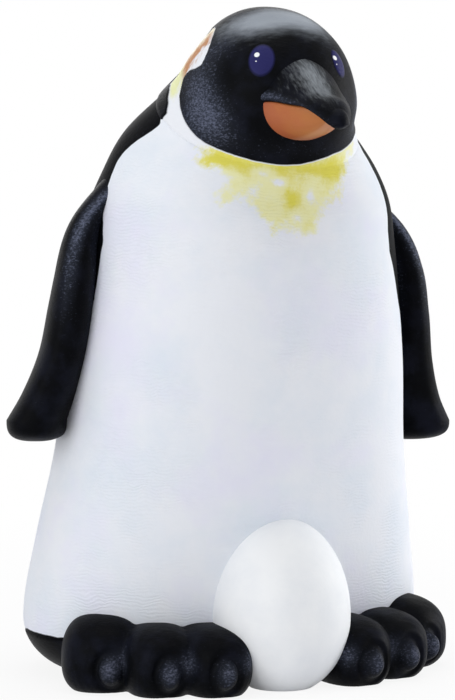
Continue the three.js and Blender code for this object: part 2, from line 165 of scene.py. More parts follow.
def rising(values: np.ndarray, empty: float, full: float) -> np.ndarray:
    """Runs straight from 0 at empty to 1 at full, and stays there. Full may be below empty."""
    return np.clip((values - empty) / (full - empty), 0, 1)


def grid_of(x: np.ndarray | float, y: np.ndarray | float, z: np.ndarray | float) -> np.ndarray:
    """Joins coordinates that differ by row, by column, by both or not at all into points."""
    return np.stack(np.broadcast_arrays(x, y, z), -1)


@dataclass
class Skin:
    """A closed surface in millimetres, with its paint attributes."""

    points: np.ndarray
    quads: np.ndarray
    triangles: np.ndarray
    paint: dict[str, np.ndarray] = field(default_factory=dict)


def skin_rings(rings: np.ndarray) -> Skin:
    """Skins a row of closed rings and closes both ends with a fan.

    Args:
        rings: Points in mm, rows by columns by 3.

    Returns:
        A closed surface whose faces point out.
    """
    rows, columns = rings.shape[:2]
    grid = np.arange(rows * columns).reshape(rows, columns)
    beside = np.roll(grid, -1, axis=1)
    quads = np.stack([grid[:-1], beside[:-1], beside[1:], grid[1:]], -1).reshape(-1, 4)
    bottom, top = rows * columns, rows * columns + 1
    first = np.stack([np.full(columns, bottom), beside[0], grid[0]], -1)
    final = np.stack([np.full(columns, top), grid[-1], beside[-1]], -1)
    points = np.vstack([rings.reshape(-1, 3), rings[0].mean(0), rings[-1].mean(0)])
    triangles = np.vstack([first, final])
    corners = points[quads]
    volume = np.einsum("ij,ij->", corners[:, 0], np.cross(corners[:, 1], corners[:, 2]))
    volume += np.einsum("ij,ij->", corners[:, 0], np.cross(corners[:, 2], corners[:, 3]))
    if volume < 0:
        quads, triangles = quads[:, ::-1], triangles[:, ::-1]
    return Skin(points, quads, triangles)


def ring_normals(rings: np.ndarray) -> np.ndarray:
    """Finds the unit normals of a grid of closed rings.

    Args:
        rings: Points in mm, rows by columns by 3.

    Returns:
        One normal for each point, pointing away from its ring's middle.
    """
    around = np.roll(rings, -1, axis=1) - np.roll(rings, 1, axis=1)
    along = np.gradient(rings, axis=0)
    normals = np.cross(around, along)
    normals /= np.linalg.norm(normals, axis=-1, keepdims=True) + 1e-12
    outward = rings - rings.mean(axis=1, keepdims=True)
    flip = np.sign(np.sum(normals * outward, axis=(1, 2), keepdims=True))
    return normals * np.where(flip == 0, 1, flip)


def outline_distance(places: np.ndarray, outline: list | tuple) -> np.ndarray:
    """Signed distance to a closed outline in a plane, positive inside.

    Args:
        places: Points, n by 2.
        outline: The outline's corners in order.

    Returns:
        One distance for each point, in the points' own unit.
    """
    corners = np.array(outline, float)
    ends = np.roll(corners, -1, axis=0)
    nearest = np.full(len(places), np.inf)
    inside = np.zeros(len(places), bool)
    for start, end in zip(corners, ends):
        edge = end - start
        share = np.clip((places - start) @ edge / (edge @ edge), 0, 1)
        nearest = np.minimum(nearest, np.linalg.norm(places - start - share[:, None] * edge, axis=1))
        crosses = (start[1] > places[:, 1]) != (end[1] > places[:, 1])
        height = edge[1] if edge[1] else 1.0
        inside ^= crosses & (places[:, 0] < start[0] + (places[:, 1] - start[1]) * edge[0] / height)
    return np.where(inside, nearest, -nearest)


def line_distance(points: np.ndarray, line: np.ndarray) -> np.ndarray:
    """Measures how far points are from a line.

    Args:
        points: Points in mm.
        line: The line's own points, finely divided.

    Returns:
        The distance from each point to the nearest of the line's, in mm.
    """
    nearest = np.full(len(points), np.inf)
    for place in line:
        nearest = np.minimum(nearest, np.einsum("ij,ij->i", points - place, points - place))
    return np.sqrt(nearest)


def spot(points: np.ndarray, middle: np.ndarray | list, spread: tuple) -> np.ndarray:
    """A soft spot, 1 at its middle and falling off over its spread in mm along x, y and z."""
    away = (points - np.array(middle)) / np.array(spread)
    return np.exp(-0.5 * np.einsum("ij,ij->i", away, away))


def dabbed(points: np.ndarray, dabs: tuple) -> np.ndarray:
    """Adds up soft dabs of paint.

    Args:
        points: Points in mm.
        dabs: Each dab as x, y, z, its spread along each, and its load.

    Returns:
        The load on each point.
    """
    load = np.zeros(len(points))
    for *middle, across, deep, tall, weight in dabs:
        load += weight * spot(points, middle, (across, deep, tall))
    return load


def smooth_share(share: np.ndarray) -> np.ndarray:
    """Runs smoothly from 0 at or below 0 to 1 at or above 1."""
    share = np.clip(share, 0, 1)
    return share * share * (3 - 2 * share)


@dataclass(frozen=True)
class Place:
    """Where the figure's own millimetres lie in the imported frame."""

    forward: float

    def metres(self, points: np.ndarray) -> np.ndarray:
        """Turns the figure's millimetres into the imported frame's metres."""
        return (points + np.array([0.0, self.forward, 0.0])) * METRES_PER_MM

    def figure(self, points: np.ndarray) -> np.ndarray:
        """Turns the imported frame's metres into the figure's millimetres."""
        return points / METRES_PER_MM - np.array([0.0, self.forward, 0.0])


def mesh_of(name: str, skin: Skin, place: Place) -> bpy.types.Mesh:
    """Makes a Blender mesh of a skin.

    Args:
        name: The mesh's name.
        skin: The surface in the figure's millimetres.
        place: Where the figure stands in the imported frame.

    Returns:
        The mesh, smooth shaded, with its paint attributes.
    """
    mesh = bpy.data.meshes.new(name)
    faces = skin.quads.tolist() + skin.triangles.tolist()
    mesh.from_pydata(place.metres(skin.points).tolist(), [], faces)
    mesh.polygons.foreach_set("use_smooth", np.ones(len(mesh.polygons), bool))
    for label, values in skin.paint.items():
        attribute = mesh.attributes.new(label, "FLOAT", "POINT")
        attribute.data.foreach_set("value", np.asarray(values, np.float32))
    mesh.update()
    # Rims that meet a flat end stay crisp, so that no shading runs over them
    mesh.set_sharp_from_angle(angle=math.radians(RIM_DEGREES))
    return mesh


def show_piece(
    node: str,
    skin: Skin,
    place: Place,
    material: bpy.types.Material,
) -> None:
    """Puts a finished skin in the scene, in place of its plain solid.

    Args:
        node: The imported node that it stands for.
        skin: Its surface in the figure's millimetres.
        place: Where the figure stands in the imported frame.
        material: Its paint.
    """
    name = f"{node}_painted"
    piece = bpy.data.objects.new(name, mesh_of(name, skin, place))
    bpy.context.scene.collection.objects.link(piece)
    piece.data.materials.append(material)
    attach(piece, "root")
    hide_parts(node)
    LOG.info("%s stands for %s with %d faces", name, node, len(piece.data.polygons))


# Paint helpers


def linear(colour: str) -> tuple[float, float, float, float]:
    """Turns an sRGB hex colour into linear red, green, blue and an alpha of 1."""
    values = [int(colour[start : start + 2], 16) / 255 for start in (1, 3, 5)]
    turned = [v / 12.92 if v <= 0.04045 else ((v + 0.055) / 1.055) ** 2.4 for v in values]
    return (turned[0], turned[1], turned[2], 1.0)


def per_metre(size_mm: float) -> float:
    """How many times a pattern of this size in mm repeats in a metre."""
    return 1 / (size_mm * METRES_PER_MM)


def add_node(
    tree: bpy.types.NodeTree,
    kind: str,
    settings: dict | None = None,
    inputs: dict | None = None,
    output: int | str = 0,
) -> bpy.types.NodeSocket:
    """Adds a node, with its settings and links.

    Args:
        tree: The node tree.
        kind: Blender's type name of the node.
        settings: Values of the node's own properties.
        inputs: Values of its sockets, or the sockets that feed them.
        output: Which output to hand back.

    Returns:
        The chosen output socket.
    """
    node = tree.nodes.new(kind)
    for label, value in (settings or {}).items():
        setattr(node, label, value)
    for label, value in (inputs or {}).items():
        if isinstance(value, bpy.types.NodeSocket):
            tree.links.new(value, node.inputs[label])
        else:
            node.inputs[label].default_value = value
    return node.outputs[output] if node.outputs else node.inputs[0]


@dataclass(frozen=True)
class Grain:
    """A noise pattern: its size in mm, its octaves and their strength, and its scale along x, y and z.

    A scale below 1 draws the pattern out that way.
    """

    size: float
    octaves: float
    strength: float
    drawn: tuple | None = None


class PaintJob:
    """One painted finish: a ground coat with further coats laid over it where their masks say."""

    def __init__(self, name: str, specular: float, ground: str, roughness: float):
        """Starts a material with its ground coat.

        Args:
            name: The material's name.
            specular: How much the paint film reflects, 0.5 being a film of IOR 1.5.
            ground: The ground coat's sRGB colour.
            roughness: The ground coat's roughness.
        """
        self.material = bpy.data.materials.new(name)
        self.material.use_nodes = True
        self.tree = self.material.node_tree
        self.tree.nodes.clear()
        self.specular = specular
        self.place = add_node(self.tree, "ShaderNodeTexCoord", output="Object")
        self.colour: bpy.types.NodeSocket | tuple = linear(ground)
        self.roughness: bpy.types.NodeSocket | float = roughness
        self.normal: bpy.types.NodeSocket | None = None

    def add(
        self, kind: str, settings: dict | None = None, inputs: dict | None = None, output: int | str = 0
    ) -> bpy.types.NodeSocket:
        """Adds a node to this finish, as add_node does."""
        return add_node(self.tree, kind, settings, inputs, output)

    def where(
        self, *limits: tuple[bpy.types.NodeSocket, float, float], run: Run = Run.SMOOTH
    ) -> bpy.types.NodeSocket:
        """Makes a mask that is full only where every limit is met.

        Args:
            limits: Each one a measured value, what it is where the mask is empty, and what it is
                where the mask is full.
            run: How it runs between.

        Returns:
            The mask, 0 to 1.
        """
        mask = None
        for value, empty, full in limits:
            ends = {"Value": value, "From Min": empty, "From Max": full}
            met = self.add("ShaderNodeMapRange", {"interpolation_type": run.value}, ends)
            if mask is None:
                mask = met
            else:
                mask = self.add("ShaderNodeMath", {"operation": "MULTIPLY"}, {0: mask, 1: met})
        return mask

    def coat(
        self, mask: bpy.types.NodeSocket, colour: str | bpy.types.NodeSocket, roughness: float
    ) -> None:
        """Lays a coat over what is there.

        Args:
            mask: Where the coat covers, 0 to 1.
            colour: An sRGB colour, or a socket that carries a linear one.
            roughness: The coat's roughness.
        """
        over = linear(colour) if isinstance(colour, str) else colour
        self.colour = self.add("ShaderNodeMix", {"data_type": "RGBA"}, {0: mask, 6: self.colour, 7: over}, 2)
        self.roughness = self.add("ShaderNodeMix", {}, {0: mask, 2: self.roughness, 3: roughness})

    def pattern(self, grain: Grain) -> dict:
        """What a noise of this grain takes as inputs."""
        place = self.place
        if grain.drawn:
            place = self.add("ShaderNodeMapping", {}, {"Vector": place, "Scale": grain.drawn})
        scale = per_metre(grain.size)
        return {"Vector": place, "Scale": scale, "Detail": grain.octaves, "Roughness": grain.strength}

    def wobbled(
        self, measure: bpy.types.NodeSocket, grain: Grain, by: float, run: tuple = (0.0, 1.0)
    ) -> bpy.types.NodeSocket:
        """Shifts a measured value up and down by a noise.

        Args:
            measure: The value, such as a distance in mm.
            grain: The noise's pattern.
            by: The most that it shifts either way.
            run: What the noise is where the shift is full, down and up.

        Returns:
            The shifted value.
        """
        noise = self.add("ShaderNodeTexNoise", {}, self.pattern(grain))
        reach = {"From Min": run[0], "From Max": run[1], "To Min": -by, "To Max": by}
        shift = self.add("ShaderNodeMapRange", {}, {"Value": noise, **reach})
        return self.add("ShaderNodeMath", {"operation": "ADD"}, {0: measure, 1: shift})

    def relief(self, height: bpy.types.NodeSocket, depth_mm: float) -> None:
        """Adds a relief of a real depth in mm to the surface."""
        inputs = {"Strength": 1.0, "Distance": depth_mm * METRES_PER_MM, "Height": height}
        if self.normal is not None:
            inputs["Normal"] = self.normal
        self.normal = self.add("ShaderNodeBump", {}, inputs)

    def finish(self) -> bpy.types.Material:
        """Joins the coats to the shader and hands back the material."""
        inputs = {"Base Color": self.colour, "Roughness": self.roughness, "Specular IOR Level": self.specular}
        if self.normal is not None:
            inputs["Normal"] = self.normal
        shader = self.add("ShaderNodeBsdfPrincipled", {}, inputs)
        self.add("ShaderNodeOutputMaterial", {}, {"Surface": shader})
        return self.material


@dataclass(frozen=True)
class BlackAcrylic:
    """Black acrylic brushed on, then dry-brushed and sponged over with slate grey.

    Satin, with only a faint reflection, broken into specks by the grain under the film. The slate-blue
    sponge specks over a thin haze and the thin grey dry-brushed film are painted highlights where a
    piece's sponge and film attributes are high, and plain sponging and dry brushing elsewhere. A run says
    where a coat starts and where it is full.
    """

    name: str
    colour: str = "#07080b"
    drift_colour: str = "#12141d"
    highlight_haze_colour: str = "#2b2f39"
    sponge_and_highlight_colour: str = "#60667a"
    dry_brush_and_highlight_colour: str = "#9aa1aa"
    roughness: float = 0.45
    sponge_and_highlight_roughness: float = 0.53
    specular: float = 0.03
    # Slow drift of the brushed film, a few millimetres wide
    drift: Grain = Grain(5.0, 3.0, 0.55)
    drift_run: tuple = (0.4, 0.7)
    # Dry brush: bristle lines across the piece, about a third of a millimetre apart
    bristle: Grain = Grain(0.7, 4.0, 0.6, (0.22, 0.5, 1.0))
    bristle_share: float = 0.5
    # Where the grey film starts and is full: dry brushing, and painted highlight where the film attribute is
    # high
    dry_brush_and_highlight_run: tuple = (0.34, 1.3)
    # Sponge specks at their real size of about a quarter of a millimetre, a little longer than they
    # are high where the brush went over them
    speck: Grain = Grain(0.27, 4.0, 0.72, (0.6, 0.6, 1.0))
    speck_run: tuple = (0.24, 0.76)
    # Where the thin haze and the slate-blue specks start and are full: painted highlights where the sponge
    # load is high
    highlight_haze_run: tuple = (0.08, 0.65)
    sponge_and_highlight_run: tuple = (0.82, 1.45)
    # Raised grain under the film: level lines, closer together than they are long
    scratch: Grain = Grain(0.3, 2.0, 0.5, (0.25, 0.25, 1.0))
    relief: float = 0.045

    def start(self) -> PaintJob:
        """Lays the ground coat, the dry brushing and the specks, and hands back the unfinished job."""
        job = PaintJob(self.name, self.specular, self.colour, self.roughness)
        drift = job.add("ShaderNodeTexNoise", {}, job.pattern(self.drift))
        job.coat(job.where((drift, *self.drift_run)), self.drift_colour, self.roughness)
        bristle = job.add("ShaderNodeTexNoise", {}, job.pattern(self.bristle))
        # The film attribute carries painted highlights, laid as a grey dry-brushed film
        film = job.add("ShaderNodeAttribute", {"attribute_name": "film"}, output="Fac")
        film = job.add(
            "ShaderNodeMath", {"operation": "MULTIPLY_ADD"}, {0: bristle, 1: self.bristle_share, 2: film}
        )
        job.coat(job.where((film, *self.dry_brush_and_highlight_run)), self.dry_brush_and_highlight_colour, self.roughness)
        # The sponge attribute carries painted highlights where it is high, and plain sponging elsewhere
        sponge_and_highlight_load = job.add("ShaderNodeAttribute", {"attribute_name": "sponge"}, output="Fac")
        job.coat(job.where((sponge_and_highlight_load, *self.highlight_haze_run)), self.highlight_haze_colour, self.roughness)
        # The heavier the sponge load, a painted highlight where it is high, the lower the specks that take
        # paint
        specks = job.add("ShaderNodeTexNoise", {}, job.pattern(self.speck))
        high = job.where((specks, *self.speck_run), run=Run.STRAIGHT)
        load = job.add("ShaderNodeMath", {"operation": "ADD"}, {0: high, 1: sponge_and_highlight_load})
        job.coat(job.where((load, *self.sponge_and_highlight_run)), self.sponge_and_highlight_colour, self.sponge_and_highlight_roughness)
        scratch = job.add("ShaderNodeTexNoise", {}, job.pattern(self.scratch))
        job.relief(scratch, self.relief)
        job.relief(specks, self.relief)
        return job


@dataclass(frozen=True)
class SpongedThroat:
    """Yellow acrylic dabbed on with a sponge: solid under the chin, thin and broken lower down."""

    yellow: str = "#dcd55e"
    pale_yellow: str = "#e9e9b6"
    roughness: float = 0.5
    # Ragged edge where the sponge lifted, in tongues of two or three millimetres
    ragged: Grain = Grain(3.4, 6.0, 0.66)
    ragged_by: float = 1.7
    ragged_run: tuple = (0.3, 0.7)
    edge_run: tuple = (-0.7, 1.3)
    # Pores of the sponge, about a millimetre across
    pores: Grain = Grain(1.9, 5.0, 0.68)
    thin_run: tuple = (0.08, 0.42)
    thick_run: tuple = (0.42, 1.05)

    def lay(self, job: PaintJob, within: bpy.types.NodeSocket | float) -> None:
        """Lays the yellow over a finish.

        Args:
            job: The finish, whose piece carries the attributes throat and throat_dab.
            within: Where the yellow may show, 0 to 1.
        """
        inside = job.add("ShaderNodeAttribute", {"attribute_name": "throat"}, output="Fac")
        dab = job.add("ShaderNodeAttribute", {"attribute_name": "throat_dab"}, output="Fac")
        edge = job.wobbled(inside, self.ragged, self.ragged_by, self.ragged_run)
        pores = job.add("ShaderNodeTexNoise", {}, job.pattern(self.pores))
        load = job.add("ShaderNodeMath", {"operation": "ADD"}, {0: pores, 1: dab})
        wash = job.where((edge, *self.edge_run), (load, *self.thin_run))
        wash = job.add("ShaderNodeMath", {"operation": "MULTIPLY"}, {0: wash, 1: within})
        job.coat(wash, self.pale_yellow, self.roughness)
        strong = job.where((load, *self.thick_run))
        strong = job.add("ShaderNodeMath", {"operation": "MULTIPLY"}, {0: strong, 1: wash})
        job.coat(strong, self.yellow, self.roughness)


@dataclass(frozen=True)
class HeadPaint:
    """The head's black mask, the white round it, the ear patches and the eyes.

    The patches are warm white, with orange-brown brushed in along the nape and pale yellow-green at
    the foot. The eyes are violet-blue ovals with white dots, glossier than the mask.
    """

    ground: BlackAcrylic
    throat: SpongedThroat
    white: str = "#e8ebf1"
    eye_blue: str = "#2c2c5c"
    eye_rim: str = "#191a38"
    dot_white: str = "#f6f8fb"
    edge_highlight_pale: str = "#c9ccd2"
    roughness: float = 0.5
    eye_roughness: float = 0.28
    rim_roughness: float = 0.3
    # Wobble of a hand-painted edge, about a tenth of a millimetre
    wobble: Grain = Grain(1.6, 2.0, 0.5)
    wobble_by: float = 0.1
    # Mm inside the white where it, the throat's yellow and the pale line along the mask's edge, a painted
    # edge highlight, start and are full
    white_run: tuple = (-0.06, 0.06)
    throat_run: tuple = (0.1, 0.25)
    edge_highlight_runs: tuple = ((-0.1, 0.0), (0.12, 0.04))
    # The same for an eye, its rim and its dots, as shares of their radius
    eye_rim_run: tuple = (1.06, 0.98)
    eye_run: tuple = (0.98, 0.84)
    dot_run: tuple = (1.15, 0.8)
    # Streaks of a nearly dry brush, drawn up and down the patch, and how many degrees they reach
    streak: Grain = Grain(0.9, 4.0, 0.6, (1.0, 0.7, 0.22))
    streak_by: float = 5.0
    streak_run: tuple = (0.3, 0.7)
    # Cream, orange-brown and yellow-green of the ear patches, each with where it starts and is full, in
    # degrees from the face's middle and in mm above the neck seat
    patches: tuple = (
        ("#ece5cf", ((98, 110),), ((3, 5),)),
        ("#b88660", ((93, 102), (117, 106)), ((4.6, 7), (14.2, 12.4))),
        ("#e4e7b4", ((92, 104),), ((7.6, 5), (2.2, 3.2))),
    )

    def make(self) -> bpy.types.Material:
        """Builds the material."""
        job = self.ground.start()
        pale = job.add("ShaderNodeAttribute", {"attribute_name": "pale"}, output="Fac")
        pale = job.wobbled(pale, self.wobble, self.wobble_by)
        in_white = (pale, *self.white_run)
        job.coat(job.where(in_white), self.white, self.roughness)
        self.ear_patch(job, in_white)
        self.throat.lay(job, job.where((pale, *self.throat_run)))
        # A pale line along the mask's cut edge: a painted edge highlight
        edge_highlight = job.where(*((pale, *run) for run in self.edge_highlight_runs))
        job.coat(edge_highlight, self.edge_highlight_pale, self.roughness)
        eye = job.add("ShaderNodeAttribute", {"attribute_name": "eye"}, output="Fac")
        job.coat(job.where((eye, *self.eye_rim_run)), self.eye_rim, self.rim_roughness)
        job.coat(job.where((eye, *self.eye_run)), self.eye_blue, self.eye_roughness)
        dot = job.add("ShaderNodeAttribute", {"attribute_name": "eye_dot"}, output="Fac")
        job.coat(job.where((dot, *self.dot_run)), self.dot_white, self.rim_roughness)
        return job.finish()

    def ear_patch(self, job: PaintJob, in_white: tuple[bpy.types.NodeSocket, float, float]) -> None:
        """Brushes the cream, the orange and the yellow into the ear patches.

        Args:
            job: The head's finish so far.
            in_white: The limit that keeps a coat inside the white.
        """
        turn = job.add("ShaderNodeAttribute", {"attribute_name": "turn"}, output="Fac")
        rise = job.add("ShaderNodeAttribute", {"attribute_name": "rise"}, output="Fac")
        brushed = job.wobbled(turn, self.streak, self.streak_by, self.streak_run)
        for colour, turns, rises in self.patches:
            limits = [(brushed, *run) for run in turns] + [(rise, *run) for run in rises]
            job.coat(job.where(in_white, *limits), colour, self.roughness)


@dataclass(frozen=True)
class TrunkPaint:
    """White acrylic over raised grain, with a yellow sponged throat and a black back.

    Thin brushed coats leave the grain's level arcs standing, and cool and violet patches a few
    millimetres wide.
    """

    throat: SpongedThroat
    name: str = "white_acrylic_trunk"
    white: str = "#e8ebf1"
    black: str = "#090a0d"
    black_dull: str = "#1f222c"
    roughness: float = 0.5
    black_roughness: float = 0.45
    specular: float = 0.01
    # Patches in the white: colour, pattern, and where it starts and is full
    clouds: tuple = (
        ("#dce4ee", Grain(13.0, 4.0, 0.6), 0.42, 0.75),
        ("#e3e3f3", Grain(17.0, 4.0, 0.6), 0.5, 0.75),
    )
    # Raised grain arcs, at their real spacing of about half a millimetre
    arc_spacing: float = 0.55
    arc_wave: tuple = (
        ("Distortion", 14.0),
        ("Detail", 3.0),
        ("Detail Scale", 0.45),
        ("Detail Roughness", 0.6),
    )
    arc_relief: float = 0.035
    # Where the arcs show: in patches, and only outside the black
    arc_place: Grain = Grain(12.0, 3.0, 0.55)
    arc_run: tuple = (0.4, 0.66)
    arc_back_run: tuple = (0.2, -0.4)
    film: Grain = Grain(0.6, 3.0, 0.6)
    film_relief: float = 0.045
    # Wobble of the black's edge, and the dull specks in the black
    wobble: Grain = Grain(2.0, 2.0, 0.5)
    wobble_by: float = 0.15
    black_run: tuple = (-0.06, 0.1)
    dull_speck: Grain = Grain(0.45, 3.0, 0.7)
    dull_run: tuple = (0.55, 0.8)

    def make(self) -> bpy.types.Material:
        """Builds the material."""
        job = PaintJob(self.name, self.specular, self.white, self.roughness)
        for colour, grain, empty, full in self.clouds:
            cloud = job.add("ShaderNodeTexNoise", {}, job.pattern(grain))
            job.coat(job.where((cloud, empty, full), run=Run.STRAIGHT), colour, self.roughness)
        back = job.add("ShaderNodeAttribute", {"attribute_name": "back_paint"}, output="Fac")
        scale = per_metre(self.arc_spacing * WAVE_BANDS / math.tau)
        wave = {"Vector": job.place, "Scale": scale, **dict(self.arc_wave)}
        arcs = job.add("ShaderNodeTexWave", {"bands_direction": "Z"}, wave, "Fac")
        spread = job.add("ShaderNodeTexNoise", {}, job.pattern(self.arc_place))
        where = job.where((spread, *self.arc_run), (back, *self.arc_back_run))
        arcs = job.add("ShaderNodeMath", {"operation": "MULTIPLY"}, {0: arcs, 1: where})
        job.relief(arcs, self.arc_relief)
        job.relief(job.add("ShaderNodeTexNoise", {}, job.pattern(self.film)), self.film_relief)
        self.throat.lay(job, 1.0)
        self.paint_back(job, back)
        return job.finish()

    def paint_back(self, job: PaintJob, back: bpy.types.NodeSocket) -> None:
        """Paints the back, the shoulders and the strip over the heels black.

        Args:
            job: The trunk's finish so far.
            back: The distance inside the black, in mm.
        """
        back = job.wobbled(back, self.wobble, self.wobble_by)
        covered = job.where((back, *self.black_run), run=Run.STRAIGHT)
        specks = job.add("ShaderNodeTexNoise", {}, job.pattern(self.dull_speck))
        dull = job.where((specks, *self.dull_run), run=Run.STRAIGHT)
        blacks = {0: dull, 6: linear(self.black), 7: linear(self.black_dull)}
        black = job.add("ShaderNodeMix", {"data_type": "RGBA"}, blacks, 2)
        job.coat(covered, black, self.black_roughness)


@dataclass(frozen=True)
class BillPaint:
    """Black acrylic with grey strokes of a nearly dry brush along the culmen, partly a painted highlight, and
    a painted highlight sponged along the mouth's edge.
    """

    ground: BlackAcrylic = BlackAcrylic("black_acrylic_bill")
    stroke_and_highlight_grey: str = "#8d9399"
    # Bristle lines about a fifth of a millimetre apart, drawn along the bill
    bristle: Grain = Grain(0.34, 3.0, 0.6, (1.2, 0.07, 0.3))
    stroke_run: tuple = (0.66, 1.7)

    def make(self) -> bpy.types.Material:
        """Builds the material."""
        job = self.ground.start()
        bristle = job.add("ShaderNodeTexNoise", {}, job.pattern(self.bristle))
        stroke_and_highlight = job.add("ShaderNodeAttribute", {"attribute_name": "stroke_and_highlight"}, output="Fac")
        load = job.add("ShaderNodeMath", {"operation": "ADD"}, {0: bristle, 1: stroke_and_highlight})
        job.coat(job.where((load, *self.stroke_run)), self.stroke_and_highlight_grey, self.ground.roughness)
        return job.finish()


@dataclass(frozen=True)
class OrangeAcrylic:
    """Orange acrylic on the lower bill, redder at the corner of the mouth and golden to the tip."""

    name: str = "orange_acrylic"
    orange: str = "#ad6036"
    pale: str = "#cda084"
    specular: float = 0.3
    roughness: float = 0.42
    edge_roughness: float = 0.52
    blotch: Grain = Grain(2.2, 4.0, 0.6)
    blotch_by: float = 0.3
    # Red at the root and gold towards the tip: from and to as shares of the length, and the cover there
    blends: tuple = (("#a4573c", (0.1, 0.5), (0.8, 0.0)), ("#b27138", (0.4, 0.9), (0.0, 0.7)))
    film: Grain = Grain(0.5, 3.0, 0.6)
    film_relief: float = 0.02

    def make(self) -> bpy.types.Material:
        """Builds the material."""
        job = PaintJob(self.name, self.specular, self.orange, self.roughness)
        along = job.add("ShaderNodeAttribute", {"attribute_name": "bill_along"}, output="Fac")
        mixed = job.wobbled(along, self.blotch, self.blotch_by)
        for colour, (start, end), (first, last) in self.blends:
            cover = {"From Min": start, "From Max": end, "To Min": first, "To Max": last}
            mask = job.add("ShaderNodeMapRange", {}, {"Value": mixed, **cover})
            job.coat(mask, colour, self.roughness)
        edge = job.add("ShaderNodeAttribute", {"attribute_name": "bill_edge"}, output="Fac")
        job.coat(edge, self.pale, self.edge_roughness)
        job.relief(job.add("ShaderNodeTexNoise", {}, job.pattern(self.film)), self.film_relief)
        return job.finish()


@dataclass(frozen=True)
class FootPaint:
    """Black acrylic over chisel rings round each claw."""

    ground: BlackAcrylic = BlackAcrylic("black_acrylic_feet", sponge_and_highlight_colour="#5c6072")
    ring_spacing: float = 1.1
    ring_relief: float = 0.014
    # How far from a claw the rings fade out, in mm
    ring_run: tuple = (8.0, 4.0)
    wobble: Grain = Grain(2.5, 2.0, 0.5)
    wobble_by: float = 1.2

    def make(self) -> bpy.types.Material:
        """Builds the material."""
        job = self.ground.start()
        from_claw = job.add("ShaderNodeAttribute", {"attribute_name": "ring"}, output="Fac")
        wobble = job.add("ShaderNodeTexNoise", {}, job.pattern(self.wobble))
        shifted = {0: wobble, 1: self.wobble_by, 2: from_claw}
        ring = job.add("ShaderNodeMath", {"operation": "MULTIPLY_ADD"}, shifted)
        turns = {0: ring, 1: math.tau / self.ring_spacing}
        ring = job.add("ShaderNodeMath", {"operation": "MULTIPLY"}, turns)
        cut = job.add("ShaderNodeMath", {"operation": "SINE"}, {0: ring})
        near = job.where((from_claw, *self.ring_run))
        cut = job.add("ShaderNodeMath", {"operation": "MULTIPLY"}, {0: cut, 1: near})
        job.relief(cut, self.ring_relief)
        return job.finish()


@dataclass(frozen=True)
class EggAcrylic:
    """Clean white acrylic on the egg, matt and a little grainy from sanding."""

    name: str = "white_acrylic_egg"
    white: str = "#f1f3f5"
    shade: str = "#e9ecf0"
    specular: float = 0.2
    roughness: float = 0.55
    cloud: Grain = Grain(8.0, 4.0, 0.6)
    cloud_run: tuple = (0.4, 0.7)
    film: Grain = Grain(0.6, 4.0, 0.65)
    film_relief: float = 0.02

    def make(self) -> bpy.types.Material:
        """Builds the material."""
        job = PaintJob(self.name, self.specular, self.white, self.roughness)
        cloud = job.add("ShaderNodeTexNoise", {}, job.pattern(self.cloud))
        job.coat(job.where((cloud, *self.cloud_run), run=Run.STRAIGHT), self.shade, self.roughness)
        job.relief(job.add("ShaderNodeTexNoise", {}, job.pattern(self.film)), self.film_relief)
        return job.finish()


@dataclass(frozen=True)
class BareBeech:
    """Bare beech of the hidden dowels: pale brown with short darker flecks along the grain."""

    name: str = "bare_beech"
    pale: str = "#cfae82"
    dark: str = "#a97f52"
    specular: float = 0.5
    roughness: float = 0.65
    fleck_roughness: float = 0.7
    fleck: Grain = Grain(0.5, 3.0, 0.6, (1.0, 0.2, 1.0))
    fleck_run: tuple = (0.52, 0.7)
    fleck_relief: float = 0.03

    def make(self) -> bpy.types.Material:
        """Builds the material."""
        job = PaintJob(self.name, self.specular, self.pale, self.roughness)
        fleck = job.add("ShaderNodeTexNoise", {}, job.pattern(self.fleck))
        job.coat(job.where((fleck, *self.fleck_run), run=Run.STRAIGHT), self.dark, self.fleck_roughness)
        job.relief(fleck, self.fleck_relief)
        return job.finish()


# Sub-assemblies


